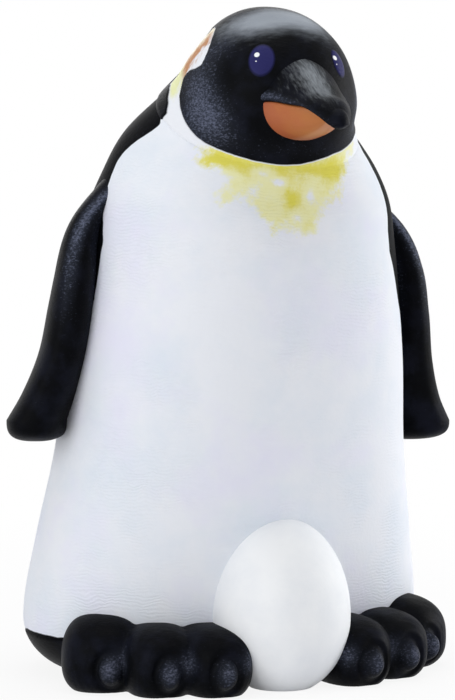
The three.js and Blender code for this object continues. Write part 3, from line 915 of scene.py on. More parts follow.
@dataclass
class Trunk:
    """The trunk: level sections hung on a side line, leaning forward towards the neck seat."""

    height: float = 87.6
    half_width: float = 33.3
    front: float = 24.6
    back: float = 21.5
    squareness: float = 2.15
    roll_inset: float = 9.5
    roll_rise: float = 9.0
    roll_rows: int = 34
    rows: int = 196
    columns: int = 420
    neck_forward: float = 12.8
    neck_half_width: float = 15.9
    neck_front: float = 15.75
    neck_back: float = 15.5
    neck_lean: float = 30.0
    # at, side line, half width, front, back, lean
    curve: tuple = (
        (0, 0.077, 0.997, 0.894, 0.977, 0),
        (0.126, 0.073, 1, 0.915, 0.977, 0),
        (0.251, 0.028, 0.946, 0.955, 0.977, 0),
        (0.411, -0.061, 0.868, 0.976, 1, 0),
        (0.571, -0.13, 0.829, 0.988, 0.977, 0),
        (0.708, -0.146, 0.793, 1, 0.907, 3),
        (0.811, -0.171, 0.763, 0.984, 0.86, 9),
        (0.89, -0.324, 0.703, 0.818, 0.85, 17),
        (0.947, -0.402, 0.62, 0.73, 0.825, 24),
    )
    # Front edge of the black: height of the section, and degrees forward of the side line
    black_edge: dict = field(
        default_factory=lambda: {
            Side.RIGHT: (
                (87.6, -4), (87.1, 0.8), (86.1, 0.8), (85.1, 0.2), (84.1, -0.8), (82.7, -1.8), (81, -1.8),
                (79.5, -0.4), (77.4, 1.6), (75.8, 4), (74.3, 7), (72.6, 10.5), (69.7, 14), (60, 12), (50, 8),
                (44, 1),
            ),
            Side.LEFT: (
                (87.6, 17), (86.3, 23), (84.8, 26), (84, 28), (82.4, 30), (81, 32), (77.1, 37), (74, 41),
                (69.7, 43), (60, 34), (50, 15),
            ),
        }
    )
    # The same below the flippers, on both sides
    low_edge: tuple = ((40, -10), (36, -30), (30, -36), (20, -42), (10, -46), (0, -48))
    # The throat's outline, as x and z
    throat_outline: tuple = (
        (-12.4, 84.5), (-13.6, 81.0), (-13.1, 79.8), (-11.5, 79.2), (-10.8, 77.1), (-10.4, 74.8),
        (-9.1, 75.4), (-7.6, 74.1), (-6.2, 73.1), (-4.8, 71.5), (-3.7, 70.5), (-0.8, 70.4), (2.6, 70.4),
        (4.2, 71.7), (5.6, 73.5), (7.4, 75.9), (8.7, 78.0), (10.5, 80.6), (12.7, 84.2), (8, 90), (-8, 90),
    )
    # The sponge's heaviest and barest places: x, z, spread across, spread up, load
    throat_dabs: tuple = (
        (-12.1, 81.7, 1.5, 1.6, 0.5),
        (-8.1, 80.9, 2.6, 0.9, 0.45),
        (-1.0, 79.6, 5.5, 0.9, 0.42),
        (6.0, 80.4, 3.0, 1.2, 0.3),
        (-0.1, 75.2, 1.3, 1.5, 0.5),
        (7.3, 79.0, 1.5, 2.0, 0.28),
        (-4.9, 79.1, 0.8, 0.5, -0.5),
        (-2.5, 77.6, 0.9, 0.5, -0.5),
        (0.1, 72.2, 0.8, 0.6, -0.4),
        (2.9, 75.4, 1.0, 1.2, -0.35),
        (-10.3, 78.2, 1.2, 1.0, -0.3),
        (-6.8, 75.6, 1.4, 1.0, -0.3),
    )
    heel_top: float = 7.2
    # The strip over the heels falls by this much for every mm behind this place
    heel_slope: float = 0.12
    heel_slope_from: float = 3.0
    edge_steps: int = 900
    # The throat is in front of this place, and anything behind is this far outside it
    throat_back: float = -8.0
    outside_throat: float = -20.0

    def __post_init__(self) -> None:
        """Reads the shares of the curve as sizes."""
        stations = np.array(self.curve)
        sizes = np.array([self.front, self.half_width, self.front, self.back, 1])
        neck = [-self.neck_forward, self.neck_half_width, self.neck_front, self.neck_back, self.neck_lean]
        self.reader = Curve(
            np.append(stations[:, 0] * self.height, self.height),
            np.vstack([stations[:, 1:] * sizes, neck]),
        )

    @property
    def lean(self) -> float:
        """The neck seat's lean in radians."""
        return math.radians(self.neck_lean)

    @property
    def belly_line(self) -> float:
        """Where the belly meets the ground line, before the roll."""
        side_line, _, front, _, _ = self.reader.read(0.0)
        return side_line - front

    @property
    def spine_line(self) -> float:
        """Where the spine meets the ground line, before the roll."""
        side_line, _, _, back, _ = self.reader.read(0.0)
        return side_line + back

    def neck_point(self, up: np.ndarray, back: np.ndarray) -> np.ndarray:
        """Finds points from the middle of the neck seat, along its own directions.

        Args:
            up: How far above it.
            back: How far behind it.

        Returns:
            The points in the figure.
        """
        sine, cosine = math.sin(self.lean), math.cos(self.lean)
        y = -self.neck_forward - up * sine + back * cosine
        return grid_of(0.0, y, self.height + up * cosine + back * sine)

    def ring_points(
        self,
        turns: np.ndarray,
        half_width: np.ndarray,
        front: np.ndarray,
        back: np.ndarray,
        lean: np.ndarray,
        middle: np.ndarray,
    ) -> np.ndarray:
        """Leaning ovals with their own depths in front and behind.

        Args:
            turns: Angles round the oval.
            half_width: Half width of each oval.
            front: Depth in front of each middle.
            back: Depth behind each middle.
            lean: Lean of each oval in radians.
            middle: Middles of the ovals, rows by 3.

        Returns:
            Points, rows by columns by 3.
        """
        across = super_cosine(turns, self.squareness) * half_width[:, None]
        turn = super_sine(turns, self.squareness)
        deep = turn * np.where(turn < 0, front[:, None], back[:, None])
        lean = lean[:, None]
        return grid_of(across, deep * np.cos(lean), deep * np.sin(lean)) + middle[:, None, :]

    def rings(self, heights: np.ndarray, turns: np.ndarray, grow: float = 0.0) -> np.ndarray:
        """The trunk's own surface.

        Args:
            heights: Heights of the sections' middles in mm.
            turns: Angles round each section in radians.
            grow: How far outside the surface, in mm.

        Returns:
            Points in mm, rows by columns by 3.
        """
        side_line, half_width, front, back, lean = self.reader.fields(heights)
        tucked = np.arccos(np.clip(1 - heights / self.roll_rise, 0, 1))
        inset = self.roll_inset * (1 - np.sin(tucked)) - grow
        middle = grid_of(0.0, side_line, heights)
        return self.ring_points(
            turns, half_width - inset, front - inset, back - inset, np.radians(lean), middle
        )

    def skin(self) -> Skin:
        """The carved trunk with its painted outlines."""
        tuck = np.linspace(0, math.pi / 2, self.roll_rows, endpoint=False)
        heights = np.concatenate(
            [self.roll_rise * (1 - np.cos(tuck)), np.linspace(self.roll_rise, self.height, self.rows)]
        )
        turns = full_turn(self.columns)
        skin = skin_rings(self.rings(heights, turns))
        level = np.append(np.repeat(heights, self.columns), [0.0, self.height])
        angle = np.append(np.tile(np.degrees(turns), len(heights)), [FRONT_TURN, FRONT_TURN])
        forward = 90 - np.abs((angle - FRONT_TURN + 180) % 360 - 180)
        black = np.full(len(level), np.inf)
        for side in Side:
            edge = np.array(self.black_edge[side] + self.low_edge)[::-1]
            mine = (skin.points[:, 0] < 0) == (side is Side.RIGHT)
            steps = np.linspace(0, len(edge) - 1, self.edge_steps)
            at, ahead = (np.interp(steps, np.arange(len(edge)), column) for column in edge.T)
            line_turn = np.radians(FRONT_TURN + side.value * (90 - ahead))
            line = np.array([self.rings(np.array([h]), np.array([t]))[0, 0] for h, t in zip(at, line_turn)])
            away = line_distance(skin.points[mine], line)
            limit = np.interp(level[mine], edge[:, 0], edge[:, 1])
            black[mine] = np.where(forward[mine] < limit, away, -away)
        behind = np.maximum(skin.points[:, 1] - self.heel_slope_from, 0)
        heel = self.heel_top - skin.points[:, 2] - self.heel_slope * behind
        skin.paint["back_paint"] = np.maximum(black, heel)
        skin.paint["throat"], skin.paint["throat_dab"] = self.throat(skin.points)
        return skin

    def throat(self, points: np.ndarray) -> tuple[np.ndarray, np.ndarray]:
        """Measures points against the sponged throat.

        Args:
            points: The trunk's or the head's surface in mm.

        Returns:
            The signed distance to the throat's outline, positive inside, and the sponge's load.
        """
        inside = outline_distance(points[:, [0, 2]], self.throat_outline)
        load = np.zeros(len(points))
        for x, z, wide, tall, weight in self.throat_dabs:
            load += weight * bell(points[:, 0], x, wide) * bell(points[:, 2], z, tall)
        return np.where(points[:, 1] < self.throat_back, inside, self.outside_throat), load


@dataclass
class Head:
    """The head: a dome over the neck seat, with a mask carved a little proud of the white."""

    trunk: Trunk
    height: float = 18.5
    drawn_in: float = 0.15
    lip_rise: float = 3.0
    glue_gap: float = 0.3
    lap_proud: float = 0.012
    # The rim's own rings, as shares of the glue gap above the seat
    rim_steps: tuple = (-0.8, 0.5)
    crown_shift: float = 2.4
    fullness: float = 2.05
    rows: int = 200
    columns: int = 400
    stop: float = 0.985
    mask_proud: float = 0.2
    mask_edge: float = 0.3
    # at, half width, back, shift
    curve: tuple = (
        (0, 1, 1, 0),
        (0.2, 0.9, 0.93, 0.117),
        (0.4, 0.904, 0.945, 0.525),
        (0.6, 0.905, 1.0, 0.771),
        (0.8, 0.928, 1.1, 0.85),
        (0.93, 0.936, 1.17, 0.933),
        (1, 0.936, 1.17, 1),
    )
    # The white's outline on each side, as degrees from the face's middle and mm above the neck seat
    chin: dict = field(
        default_factory=lambda: {
            Side.RIGHT: (
                (-15, -2), (-13.2, 1.3), (-2.8, 0.75), (7.2, 0.5), (16.3, 0.55), (25.9, 0.65), (35.5, 0.8),
                (46.8, 0.9), (52.2, 0.95), (59.1, 1.2), (65.3, 1.6), (71.6, 2),
            ),
            Side.LEFT: (
                (-18, -2), (-16.3, 0.55), (-7.2, 0.5), (2.8, 0.75), (13.2, 1.3), (24.8, 1.9), (41.4, 2.2),
                (53.4, 2.4), (65.3, 2.3),
            ),
        }
    )
    cheek_and_ear: tuple = (
        (78, 2.5), (83.8, 3), (91.7, 3.9), (94, 4.7), (95.9, 5.6), (97.2, 6.5), (96.1, 7.3), (93.2, 8.3),
        (87.6, 9.1), (83.3, 10.1), (83.9, 10.8), (86.5, 11.8), (91.1, 12.7), (100.5, 13.6), (112, 14),
        (122, 13.6), (131, 12), (135, 9), (135, 6), (131, 3.4), (124, 2.3), (118, 2.8), (110.8, 2.8),
        (96.3, 2),
    )
    band: dict = field(
        default_factory=lambda: {
            Side.RIGHT: ((90.2, 1), (91, 0.3), (92, -2)),
            Side.LEFT: ((86, 1), (80, 0.3), (80, -2)),
        }
    )
    outline_radius: float = 14.0
    eye_middle: tuple = (6.25, -28.5, 95.65)
    # Half width and half height of each
    eye_halves: dict = field(default_factory=lambda: {Side.RIGHT: (1.95, 2.6), Side.LEFT: (1.3, 2.25)})
    eye_tilt: float = 3.0
    eye_proud: float = 0.2
    # How far from an eye's middle its paint is measured
    eye_reach: float = 5.0
    # Dots on each eye: towards the figure's right, up, radius in mm
    eye_dots: tuple = ((0.7, 0.75, 0.4), (0.78, -0.3, 0.12))
    # Painted highlights on the crown, forehead and cheek, laid as a grey dry-brushed film: x, y, z, spread
    # along each, load
    highlight_film_dabs: tuple = (
        (-2.4, -24.0, 102.6, 5.4, 2.8, 2.4, 1.15),
        (-8.6, -20.0, 101.0, 3.2, 3.2, 2.4, 0.25),
        (3.6, -25.8, 101.0, 2.4, 2.4, 2.4, 0.3),
        (-12.5, -20.6, 90.6, 4.0, 4.0, 4.4, 0.16),
    )
    # Painted highlights on the cheeks, chin, brow and crown, laid as sponge specks over a haze: the same
    highlight_sponge_dabs: tuple = (
        (-12.9, -19.6, 91.4, 3.6, 3.6, 4.4, 0.5),
        (-11.4, -22.9, 86.6, 3.6, 3.2, 3.0, 0.42),
        (0.0, -26.0, 82.5, 9.0, 4.0, 1.6, 0.2),
        (-9.6, -22.0, 98.4, 3.0, 3.0, 2.0, 0.25),
        (12.7, -20.6, 91.2, 3.4, 3.2, 3.6, 0.4),
        (11.4, -24.2, 90.0, 2.2, 2.4, 5.0, 0.4),
        (5.0, -28.5, 99.0, 2.0, 2.0, 1.6, 0.25),
        (-4.0, -23.0, 103.5, 5.0, 4.0, 2.5, 0.2),
    )

    def pale(self, points: np.ndarray) -> tuple[np.ndarray, np.ndarray, np.ndarray]:
        """Measures points against the white round the mask.

        Args:
            points: The head's surface in mm.

        Returns:
            The signed distance to the white's edge, positive inside it, the degrees from the face's
            middle, and the height above the neck seat.
        """
        trunk = self.trunk
        behind = points[:, 1] + trunk.neck_forward
        above = points[:, 2] - trunk.height
        back = behind * math.cos(trunk.lean) + above * math.sin(trunk.lean)
        up = above * math.cos(trunk.lean) - behind * math.sin(trunk.lean)
        degrees = np.degrees(np.arctan2(points[:, 0], -back))
        to_mm = math.radians(1) * self.outline_radius
        inside = np.full(len(points), -np.inf)
        for side in Side:
            corners = self.chin[side] + self.cheek_and_ear + self.band[side]
            outline = [(turn * to_mm, rise) for turn, rise in corners]
            flat = np.stack([degrees * side.value * to_mm, up], -1)
            inside = np.maximum(inside, outline_distance(flat, outline))
        return inside, np.abs(degrees), up

    def skin(self) -> Skin:
        """The carved head with its painted outlines."""
        trunk = self.trunk
        around = full_turn(self.columns)
        turn = np.linspace(0, math.pi / 2 * self.stop, self.rows)
        scale, rise = super_cosine(turn, self.fullness), super_sine(turn, self.fullness)
        kept_width, kept_back, shift = Curve.of(self.curve).fields(rise)
        up = self.glue_gap + self.height * rise
        # Above the neck seat the dome draws in smoothly, so that no collar shows in the white
        lip = -self.drawn_in * smooth_share(up / self.lip_rise)
        dome = trunk.ring_points(
            around,
            (trunk.neck_half_width + lip) * scale * kept_width,
            (trunk.neck_front + lip) * scale,
            (trunk.neck_back + lip) * scale * kept_back,
            np.full(self.rows, trunk.lean),
            trunk.neck_point(up, -self.crown_shift * shift),
        )
        # Below the dome the rim runs straight down and laps a hair over the glue line, as paint does
        steps = np.array(self.rim_steps)
        even = np.ones(len(steps))
        rim = trunk.ring_points(
            around,
            (trunk.neck_half_width + self.lap_proud) * even,
            (trunk.neck_front + self.lap_proud) * even,
            (trunk.neck_back + self.lap_proud) * even,
            trunk.lean * even,
            trunk.neck_point(self.glue_gap * steps, 0.0 * even),
        )
        rings = np.concatenate([rim, dome])
        normals = ring_normals(rings).reshape(-1, 3)
        flat = rings.reshape(-1, 3)
        eye, dots = self.eyes(flat, normals)
        inside, _, _ = self.pale(flat)
        raised = self.mask_proud * smooth_share(-inside / self.mask_edge)
        bulge = self.eye_proud * np.clip(1 - eye**2, 0, 1) ** 0.5
        flat = flat + normals * (bulge + raised)[:, None]
        skin = skin_rings(flat.reshape(rings.shape))
        points = skin.points
        skin.paint["pale"], skin.paint["turn"], skin.paint["rise"] = self.pale(points)
        skin.paint["eye"] = np.append(eye, (FAR, FAR))
        skin.paint["eye_dot"] = np.append(dots, (FAR, FAR))
        skin.paint["throat"], skin.paint["throat_dab"] = trunk.throat(points)
        # The film and sponge attributes here are painted highlights, as grey film and sponge specks
        skin.paint["film"] = dabbed(points, self.highlight_film_dabs)
        skin.paint["sponge"] = dabbed(points, self.highlight_sponge_dabs)
        return skin

    def eyes(self, points: np.ndarray, normals: np.ndarray) -> tuple[np.ndarray, np.ndarray]:
        """Measures every point against the eyes' ovals.

        Args:
            points: The head's surface in mm.
            normals: Its unit normals.

        Returns:
            The share of the way to the nearest eye's edge, and to the nearest dot's edge.
        """
        eye, dots = np.full((2, len(points)), FAR)
        for side in Side:
            middle = np.array(self.eye_middle) * [side.value, 1, 1]
            nearest = int(np.argmin(np.linalg.norm(points - middle, axis=1)))
            middle, facing = points[nearest], normals[nearest]
            up = UP - facing * (UP @ facing)
            up /= np.linalg.norm(up)
            across = np.cross(up, facing)
            near = np.linalg.norm(points - middle, axis=1) < self.eye_reach
            offset = points[near] - middle
            x, y = offset @ across, offset @ up
            tilt = math.radians(self.eye_tilt) * -side.value
            along = x * math.cos(tilt) - y * math.sin(tilt)
            high = x * math.sin(tilt) + y * math.cos(tilt)
            half_width, half_height = self.eye_halves[side]
            oval = np.hypot(along / half_width, high / half_height)
            eye[near] = np.minimum(eye[near], oval)
            for dot_x, dot_y, radius in self.eye_dots:
                dots[near] = np.minimum(dots[near], np.hypot(x + dot_x, y - dot_y) / radius)
        return eye, dots


@dataclass
class Bill:
    """The bill: two halves of upright sections that meet along the mouth."""

    trunk: Trunk
    glue_gap: float = 0.1
    sunk: float = 2.1
    upper_length: float = 17.0
    lower_length: float = 13.1
    upper_half: float = 7.4
    lower_half: float = 7.2
    culmen: float = 8.6
    mouth: float = 1.6
    droop: float = 4.2
    depth: float = 3.9
    upper_roundness: float = 1.65
    lower_roundness: float = 2.1
    bluntness: float = 4.5
    # The tip's section is rounder than the rest, and its underside bulges
    tip_roundness: float = 2.3
    tip_from: float = 0.55
    tip_under: float = 0.7
    # Half width below which the bulge is less
    tip_under_width: float = 2.0
    stop: float = 0.985
    levels: int = 150
    arc_points: int = 170
    mouth_points: int = 40
    # The mouth's edges are rounded over, with a bead above them and a hollow above the bead
    edge_rounding: float = 0.35
    bead: float = 0.22
    hollow: float = 0.3
    # at, upper half, culmen, droop, lower half, depth
    curve: tuple = (
        (0, 1.04, 1.04, -0.06, 1.02, 1),
        (0.269, 0.85, 0.932, -0.03, 0.84, 0.93),
        (0.479, 0.69, 0.614, 0.14, 0.66, 0.877),
        (0.659, 0.57, 0.33, 0.302, 0.48, 0.823),
        (0.808, 0.48, 0.26, 0.64, 0.3, 0.719),
        (0.91, 0.4, 0.2, 0.98, 0.19, 0.745),
    )
    # Share by which points crowd towards the mouth's edges, where the rounding is
    crowding: float = 0.8
    # Bead and hollow as shares of the way up, with their spreads
    bead_at: tuple = (0.13, 0.07)
    hollow_at: tuple = (0.4, 0.16)
    # Grey strokes along the culmen, partly dry-brush paint and partly painted highlight, and a painted
    # highlight sponged along the mouth's edge: load, middle and spread
    stroke_and_highlight_load: float = 0.85
    stroke_across: tuple = (-0.12, 0.42)
    # The strokes' share at the middle of the length, cut off at 1, and its fall towards both ends
    stroke_middle: float = 1.25
    stroke_fall: float = 1.1 / 0.42
    lip_highlight_load: float = 0.5
    edge_rise: tuple = (0.16, 0.12)
    edge_fade: tuple = (1.3, 0.3)
    worn_load: float = 0.3
    worn_run: tuple = (0.965, 0.995)

    def skin(self, half: BillHalf) -> Skin:
        """Carves one half of the bill and measures its painted places.

        Args:
            half: Which half.

        Returns:
            The half's surface.
        """
        trunk = self.trunk
        upper = half is BillHalf.UPPER
        length = self.upper_length if upper else self.lower_length
        share = np.sin(np.linspace(0, math.pi / 2 * self.stop, self.levels))[:, None]
        found = Curve.of(self.curve).fields(share[:, 0] * length / self.upper_length)
        upper_half, culmen, droop, lower_half, depth = found[..., None]
        seam = trunk.height + self.mouth - self.droop * droop
        if upper:
            mouth, edge = seam + self.glue_gap / 2, trunk.height + self.culmen * culmen
            half_width = self.upper_half * upper_half
        else:
            mouth, edge = seam - self.glue_gap / 2, trunk.height - self.depth * depth
            half_width = self.lower_half * lower_half
        rounding = np.sqrt(1 - share**self.bluntness)
        tall = (edge - mouth) * rounding
        half_width = half_width * rounding
        even = np.linspace(0, 1, self.arc_points)
        arc = math.pi * even - self.crowding * np.sin(math.tau * even) / 2
        to_tip = smooth_share((share - self.tip_from) / (1 - self.tip_from)) * float(upper)
        roundness = self.upper_roundness if upper else self.lower_roundness
        roundness = roundness + (self.tip_roundness - roundness) * to_tip
        rise = super_sine(arc, roundness)
        lip = self.lip(rise, np.cos(arc)) * float(upper) * (1 - to_tip) / self.upper_half
        arc_x = half_width * (super_cosine(arc, roundness) + lip)
        # The mouth's edges are rounded over
        left = np.clip(1 - np.abs(tall * rise) / np.minimum(self.edge_rounding, np.abs(tall) / 2), 0, 1)
        cut = self.edge_rounding * (1 - np.sqrt(1 - left**2))
        arc_x = arc_x * (1 - cut / (half_width + self.edge_rounding))
        inner = np.linspace(-1, 1, self.mouth_points + 2)[1:-1]
        bulge = self.tip_under * to_tip * np.minimum(1, half_width / self.tip_under_width)
        x = np.hstack([arc_x, arc_x[:, :1] * -inner])
        z = np.hstack([mouth + tall * rise, mouth - bulge * (1 - inner**2)])
        y = -trunk.neck_forward - trunk.neck_front + self.sunk - length * share
        skin = skin_rings(grid_of(x, y, z))
        measures = (share, np.hstack([np.sin(arc), 0 * inner]), np.hstack([np.cos(arc), inner]))
        along, up, across = (np.append((values + 0 * x).ravel(), (0.0, 0.0)) for values in measures)
        along[-1] = 1.0
        if upper:
            kept = np.clip(self.stroke_middle - self.stroke_fall * np.abs(along - 0.5), 0, 1)
            skin.paint["stroke_and_highlight"] = self.stroke_and_highlight_load * bell(across, *self.stroke_across) * kept
            kept = rising(along, *self.edge_fade)
            skin.paint["sponge"] = self.lip_highlight_load * bell(up, *self.edge_rise) * kept
        else:
            skin.paint["bill_along"] = along
            skin.paint["bill_edge"] = self.worn_load * rising(up, *self.worn_run)
        return skin

    def lip(self, rise: np.ndarray, across: np.ndarray) -> np.ndarray:
        """How far the bead stands out and the hollow above it lies in.

        Args:
            rise: Share of the way up each section.
            across: Share of the way across, positive to the figure's left.

        Returns:
            Millimetres along x, at the bill's full width.
        """
        bead = self.bead * bell(rise, *self.bead_at)
        hollow = self.hollow * bell(rise, *self.hollow_at)
        return np.sign(across) * (bead - hollow)


@dataclass
class Flipper:
    """A flipper: a flat slab along the trunk's side, flared out at its tip."""

    trunk: Trunk
    side: Side
    top_drop: float = 7.6
    length: float = 40.0
    tip_round: float = 3.4
    half_width: float = 12.4
    half_thick: float = 4.7
    left_lift: float = -0.7
    right_lift: float = 0.9
    squareness: float = 2.5
    tip_squareness: float = 3.0
    levels: int = 170
    tip_levels: int = 40
    columns: int = 240
    tip_stop: float = 0.985
    # at, sunk, behind, half width, half thickness, twist
    curve: tuple = (
        (0, 0.84, 0.36, 0.16, 0.42, 33),
        (0.075, 0.7, 0.28, 0.4, 0.53, 31),
        (0.2, 0.44, 0.21, 0.73, 0.63, 30),
        (0.363, 0.25, 0.25, 0.95, 0.76, 25),
        (0.55, 0.17, 0.285, 1, 0.86, 23),
        (0.75, 0.021, 0.323, 0.968, 0.894, 22),
        (0.9, -0.341, 0.289, 0.871, 0.957, 24),
        (1, -0.758, 0.214, 0.79, 1, 26),
    )
    # The painted highlight sponged along the ridge: load, spread, its place across low down, and how far it
    # shifts at the top
    ridge_highlight_load: float = 0.62
    ridge_spread: float = 0.22
    ridge_middle: float = 0.12
    ridge_shift: float = 0.5
    # The painted highlight sponged along the inner edge: load, place across and spread, and the plain
    # sponging that every place gets
    inner_highlight_load: float = 0.25
    inner_place: tuple = (-0.75, 0.16)
    base_load: float = 0.04
    # Shares of the way down: the shift's end and start, the ridge's start and its end, the edge's end
    shift_run: tuple = (0.3, 0.0)
    ridge_start: tuple = (0.02, 0.1)
    ridge_end: tuple = (0.6, 0.15)
    inner_end: tuple = (0.8, 0.4)

    def skin(self) -> Skin:
        """The carved flipper, with a painted highlight sponged along its ridge."""
        share = np.linspace(0, 1, self.levels)
        sunk, behind, wide, thick, twist = Curve.of(self.curve).fields(share)
        height = self.trunk.height - self.top_drop - self.length * share
        side_line, half_width, _, _, _ = self.trunk.reader.fields(height)
        x = half_width - sunk * self.half_thick
        y = side_line + behind * self.half_width
        wide = wide * self.half_width
        thick = thick * self.half_thick
        twist = np.radians(twist)
        # The tip is rounded off below the last section
        tip = np.linspace(0, math.pi / 2 * self.tip_stop, self.tip_levels + 1)[1:]
        narrowed = super_cosine(tip, self.tip_squareness)
        x, y, twist = (np.append(values, np.full(len(tip), values[-1])) for values in (x, y, twist))
        wide = np.append(wide, wide[-1] * narrowed)
        thick = np.append(thick, thick[-1] * narrowed)
        height = np.append(height, height[-1] - self.tip_round * super_sine(tip, self.tip_squareness))
        turns = full_turn(self.columns)
        along = super_cosine(turns, self.squareness) * wide[:, None]
        through = super_sine(turns, self.squareness) * thick[:, None]
        sine, cosine = np.sin(twist)[:, None], np.cos(twist)[:, None]
        lift = self.left_lift if self.side is Side.LEFT else self.right_lift
        skin = skin_rings(
            grid_of(
                self.side.value * (x[:, None] + along * sine + through * cosine),
                y[:, None] - along * cosine + through * sine,
                height[:, None] + lift,
            )
        )
        outer = np.sin(turns)
        is_front = np.cos(turns) > 0
        down = np.linspace(0, 1, len(height))[:, None]
        middle = self.ridge_middle - self.ridge_shift * rising(down, *self.shift_run)
        fade = rising(down, *self.ridge_start) * rising(down, *self.ridge_end)
        ridge = self.ridge_highlight_load * bell(outer, middle, self.ridge_spread) * fade
        inner = self.inner_highlight_load * bell(outer, *self.inner_place) * rising(down, *self.inner_end)
        sponge = (ridge + inner) * is_front + self.base_load
        skin.paint["sponge"] = np.append(sponge.ravel(), (0.0, 0.0))
        return skin


@dataclass(frozen=True)
class Toe:
    """One toe's sizes."""

    half_width: float
    half_length: float
    height: float
    behind: float
    splay: float
    claw_aside: float


@dataclass
class Foot:
    """A foot: three rounded toes with a claw each, in front of a heel let into the trunk's edge."""

    trunk: Trunk
    side: Side
    inner: Toe = Toe(5.7, 9.7, 10.2, -0.2, 2.0, 0.4)
    middle: Toe = Toe(5.9, 9.9, 10.3, 3.1, 12.0, -0.6)
    outer: Toe = Toe(6.7, 11.0, 11.6, 10.5, 30.0, -2.2)
    beside_egg: float = 0.8
    egg_radius: float = 10.8
    inside_trunk: float = 9.2
    middle_share: float = 0.58
    middle_height: float = 4.6
    under: float = 6.0
    toe_squareness: float = 2.7
    toe_shortening: float = 0.97
    claw_half_width: float = 1.7
    claw_half_height: float = 2.3
    claw_height: float = 3.7
    claw_proud: float = 1.2
    claw_groove: float = 0.5
    groove_width: float = 0.24
    heel_inner: float = 5.8
    heel_back: float = 9.7
    heel_top: float = 6.7
    heel_proud: float = 0.15
    # The heel's inner wall, seen from its outer one
    heel_inward: tuple = (-5.0, 3.0, 0.0)
    voxel: float = 0.22
    smoothing: int = 18
    # Share of a quarter turn that a toe's form reaches up and down, and its rows and columns
    toe_stop: float = 0.98
    toe_grid: tuple = (60, 90)
    # The heel's form: lowest height, turns from and to in degrees, rows and columns
    heel_bottom: float = -0.6
    heel_turns: tuple = (272.0, 372.0)
    heel_grid: tuple = (24, 90)
    # Claws lie in the front of the toe, ahead of this share of its half length
    claw_front: float = 0.35
    groove_at: float = 1.25
    # Painted highlights, sponged on each claw and on each knuckle, as loads and spreads
    claw_highlight_load: float = 0.5
    claw_dab: tuple = (0.1, 0.6)
    knuckle_highlight_load: float = 0.45
    knuckle_spread: tuple = (1.5, 1.5, 1.5)
    # Across and along as shares of the toe's half sizes, and up in mm
    knuckle_at: tuple = (-0.6, -0.8, 0.6)
    base_load: float = 0.06
    # How much the distance along a toe counts in the chisel rings
    ring_along: float = 0.5

    def toes(self) -> list[tuple[Toe, float]]:
        """The three toes with their places across."""
        inner = self.egg_radius + self.beside_egg
        outer = self.trunk.half_width - self.inside_trunk
        middle = inner + (outer - inner) * self.middle_share
        return [(self.inner, inner), (self.middle, middle), (self.outer, outer)]

    def placed(self, toe: Toe, x: float, points: np.ndarray) -> np.ndarray:
        """Turns a toe's own points out by its splay and puts them in the figure.

        Args:
            toe: The toe.
            x: Its place across, on the left foot.
            points: Points from the toe's own middle, in mm.

        Returns:
            The points in the figure.
        """
        splay = math.radians(toe.splay)
        sine, cosine = math.sin(splay), math.cos(splay)
        turned = grid_of(
            points[..., 0] * cosine - points[..., 1] * sine + x,
            points[..., 0] * sine + points[..., 1] * cosine + self.trunk.belly_line + toe.behind,
            points[..., 2] + self.middle_height,
        )
        return turned * [self.side.value, 1, 1]

    def in_toe(self, toe: Toe, x: float, points: np.ndarray) -> np.ndarray:
        """Turns the figure's points into a toe's own place, as placed does the other way.

        Args:
            toe: The toe.
            x: Its place across, on the left foot.
            points: Points of the figure in mm.

        Returns:
            The points from the toe's own middle.
        """
        splay = math.radians(toe.splay)
        sine, cosine = math.sin(splay), math.cos(splay)
        across = points[:, 0] * self.side.value - x
        deep = points[:, 1] - self.trunk.belly_line - toe.behind
        up = points[:, 2] - self.middle_height
        return grid_of(across * cosine + deep * sine, deep * cosine - across * sine, up)

    def lobes(self) -> list[Skin]:
        """The closed forms that the foot is carved from."""
        rows, columns = self.toe_grid
        highest = math.pi / 2 * self.toe_stop
        rise = np.linspace(-highest, highest, rows)[:, None]
        turn = full_turn(columns)
        ball = grid_of(np.cos(rise) * np.cos(turn), np.cos(rise) * np.sin(turn), np.sin(rise))
        # Blunter than an ellipsoid, as a knob cut with a knife is
        power = self.toe_squareness
        ball = ball / (np.abs(ball) ** power).sum(-1, keepdims=True) ** (1 / power)
        forms = []
        for toe, x in self.toes():
            tall = np.where(ball[..., 2] > 0, toe.height - self.middle_height, self.under)
            long = toe.half_length * self.toe_shortening
            lobe = grid_of(ball[..., 0] * toe.half_width, ball[..., 1] * long, ball[..., 2] * tall)
            forms.append(skin_rings(self.placed(toe, x, lobe)))
        rows, columns = self.heel_grid
        heights = np.linspace(self.heel_bottom, self.heel_top, rows)
        turns = np.linspace(*np.radians(self.heel_turns), columns)
        outer = self.trunk.rings(np.maximum(heights, 0.0), turns, self.heel_proud)
        outer[..., 2] = heights[:, None]
        across, deep = outer[rows // 2, :, 0], outer[rows // 2, :, 1]
        outer = outer[:, (across > self.heel_inner) & (deep < self.heel_back)]
        inner = outer + self.heel_inward
        ring = np.concatenate([outer, inner[:, ::-1]], axis=1) * [self.side.value, 1, 1]
        forms.append(skin_rings(ring))
        return forms

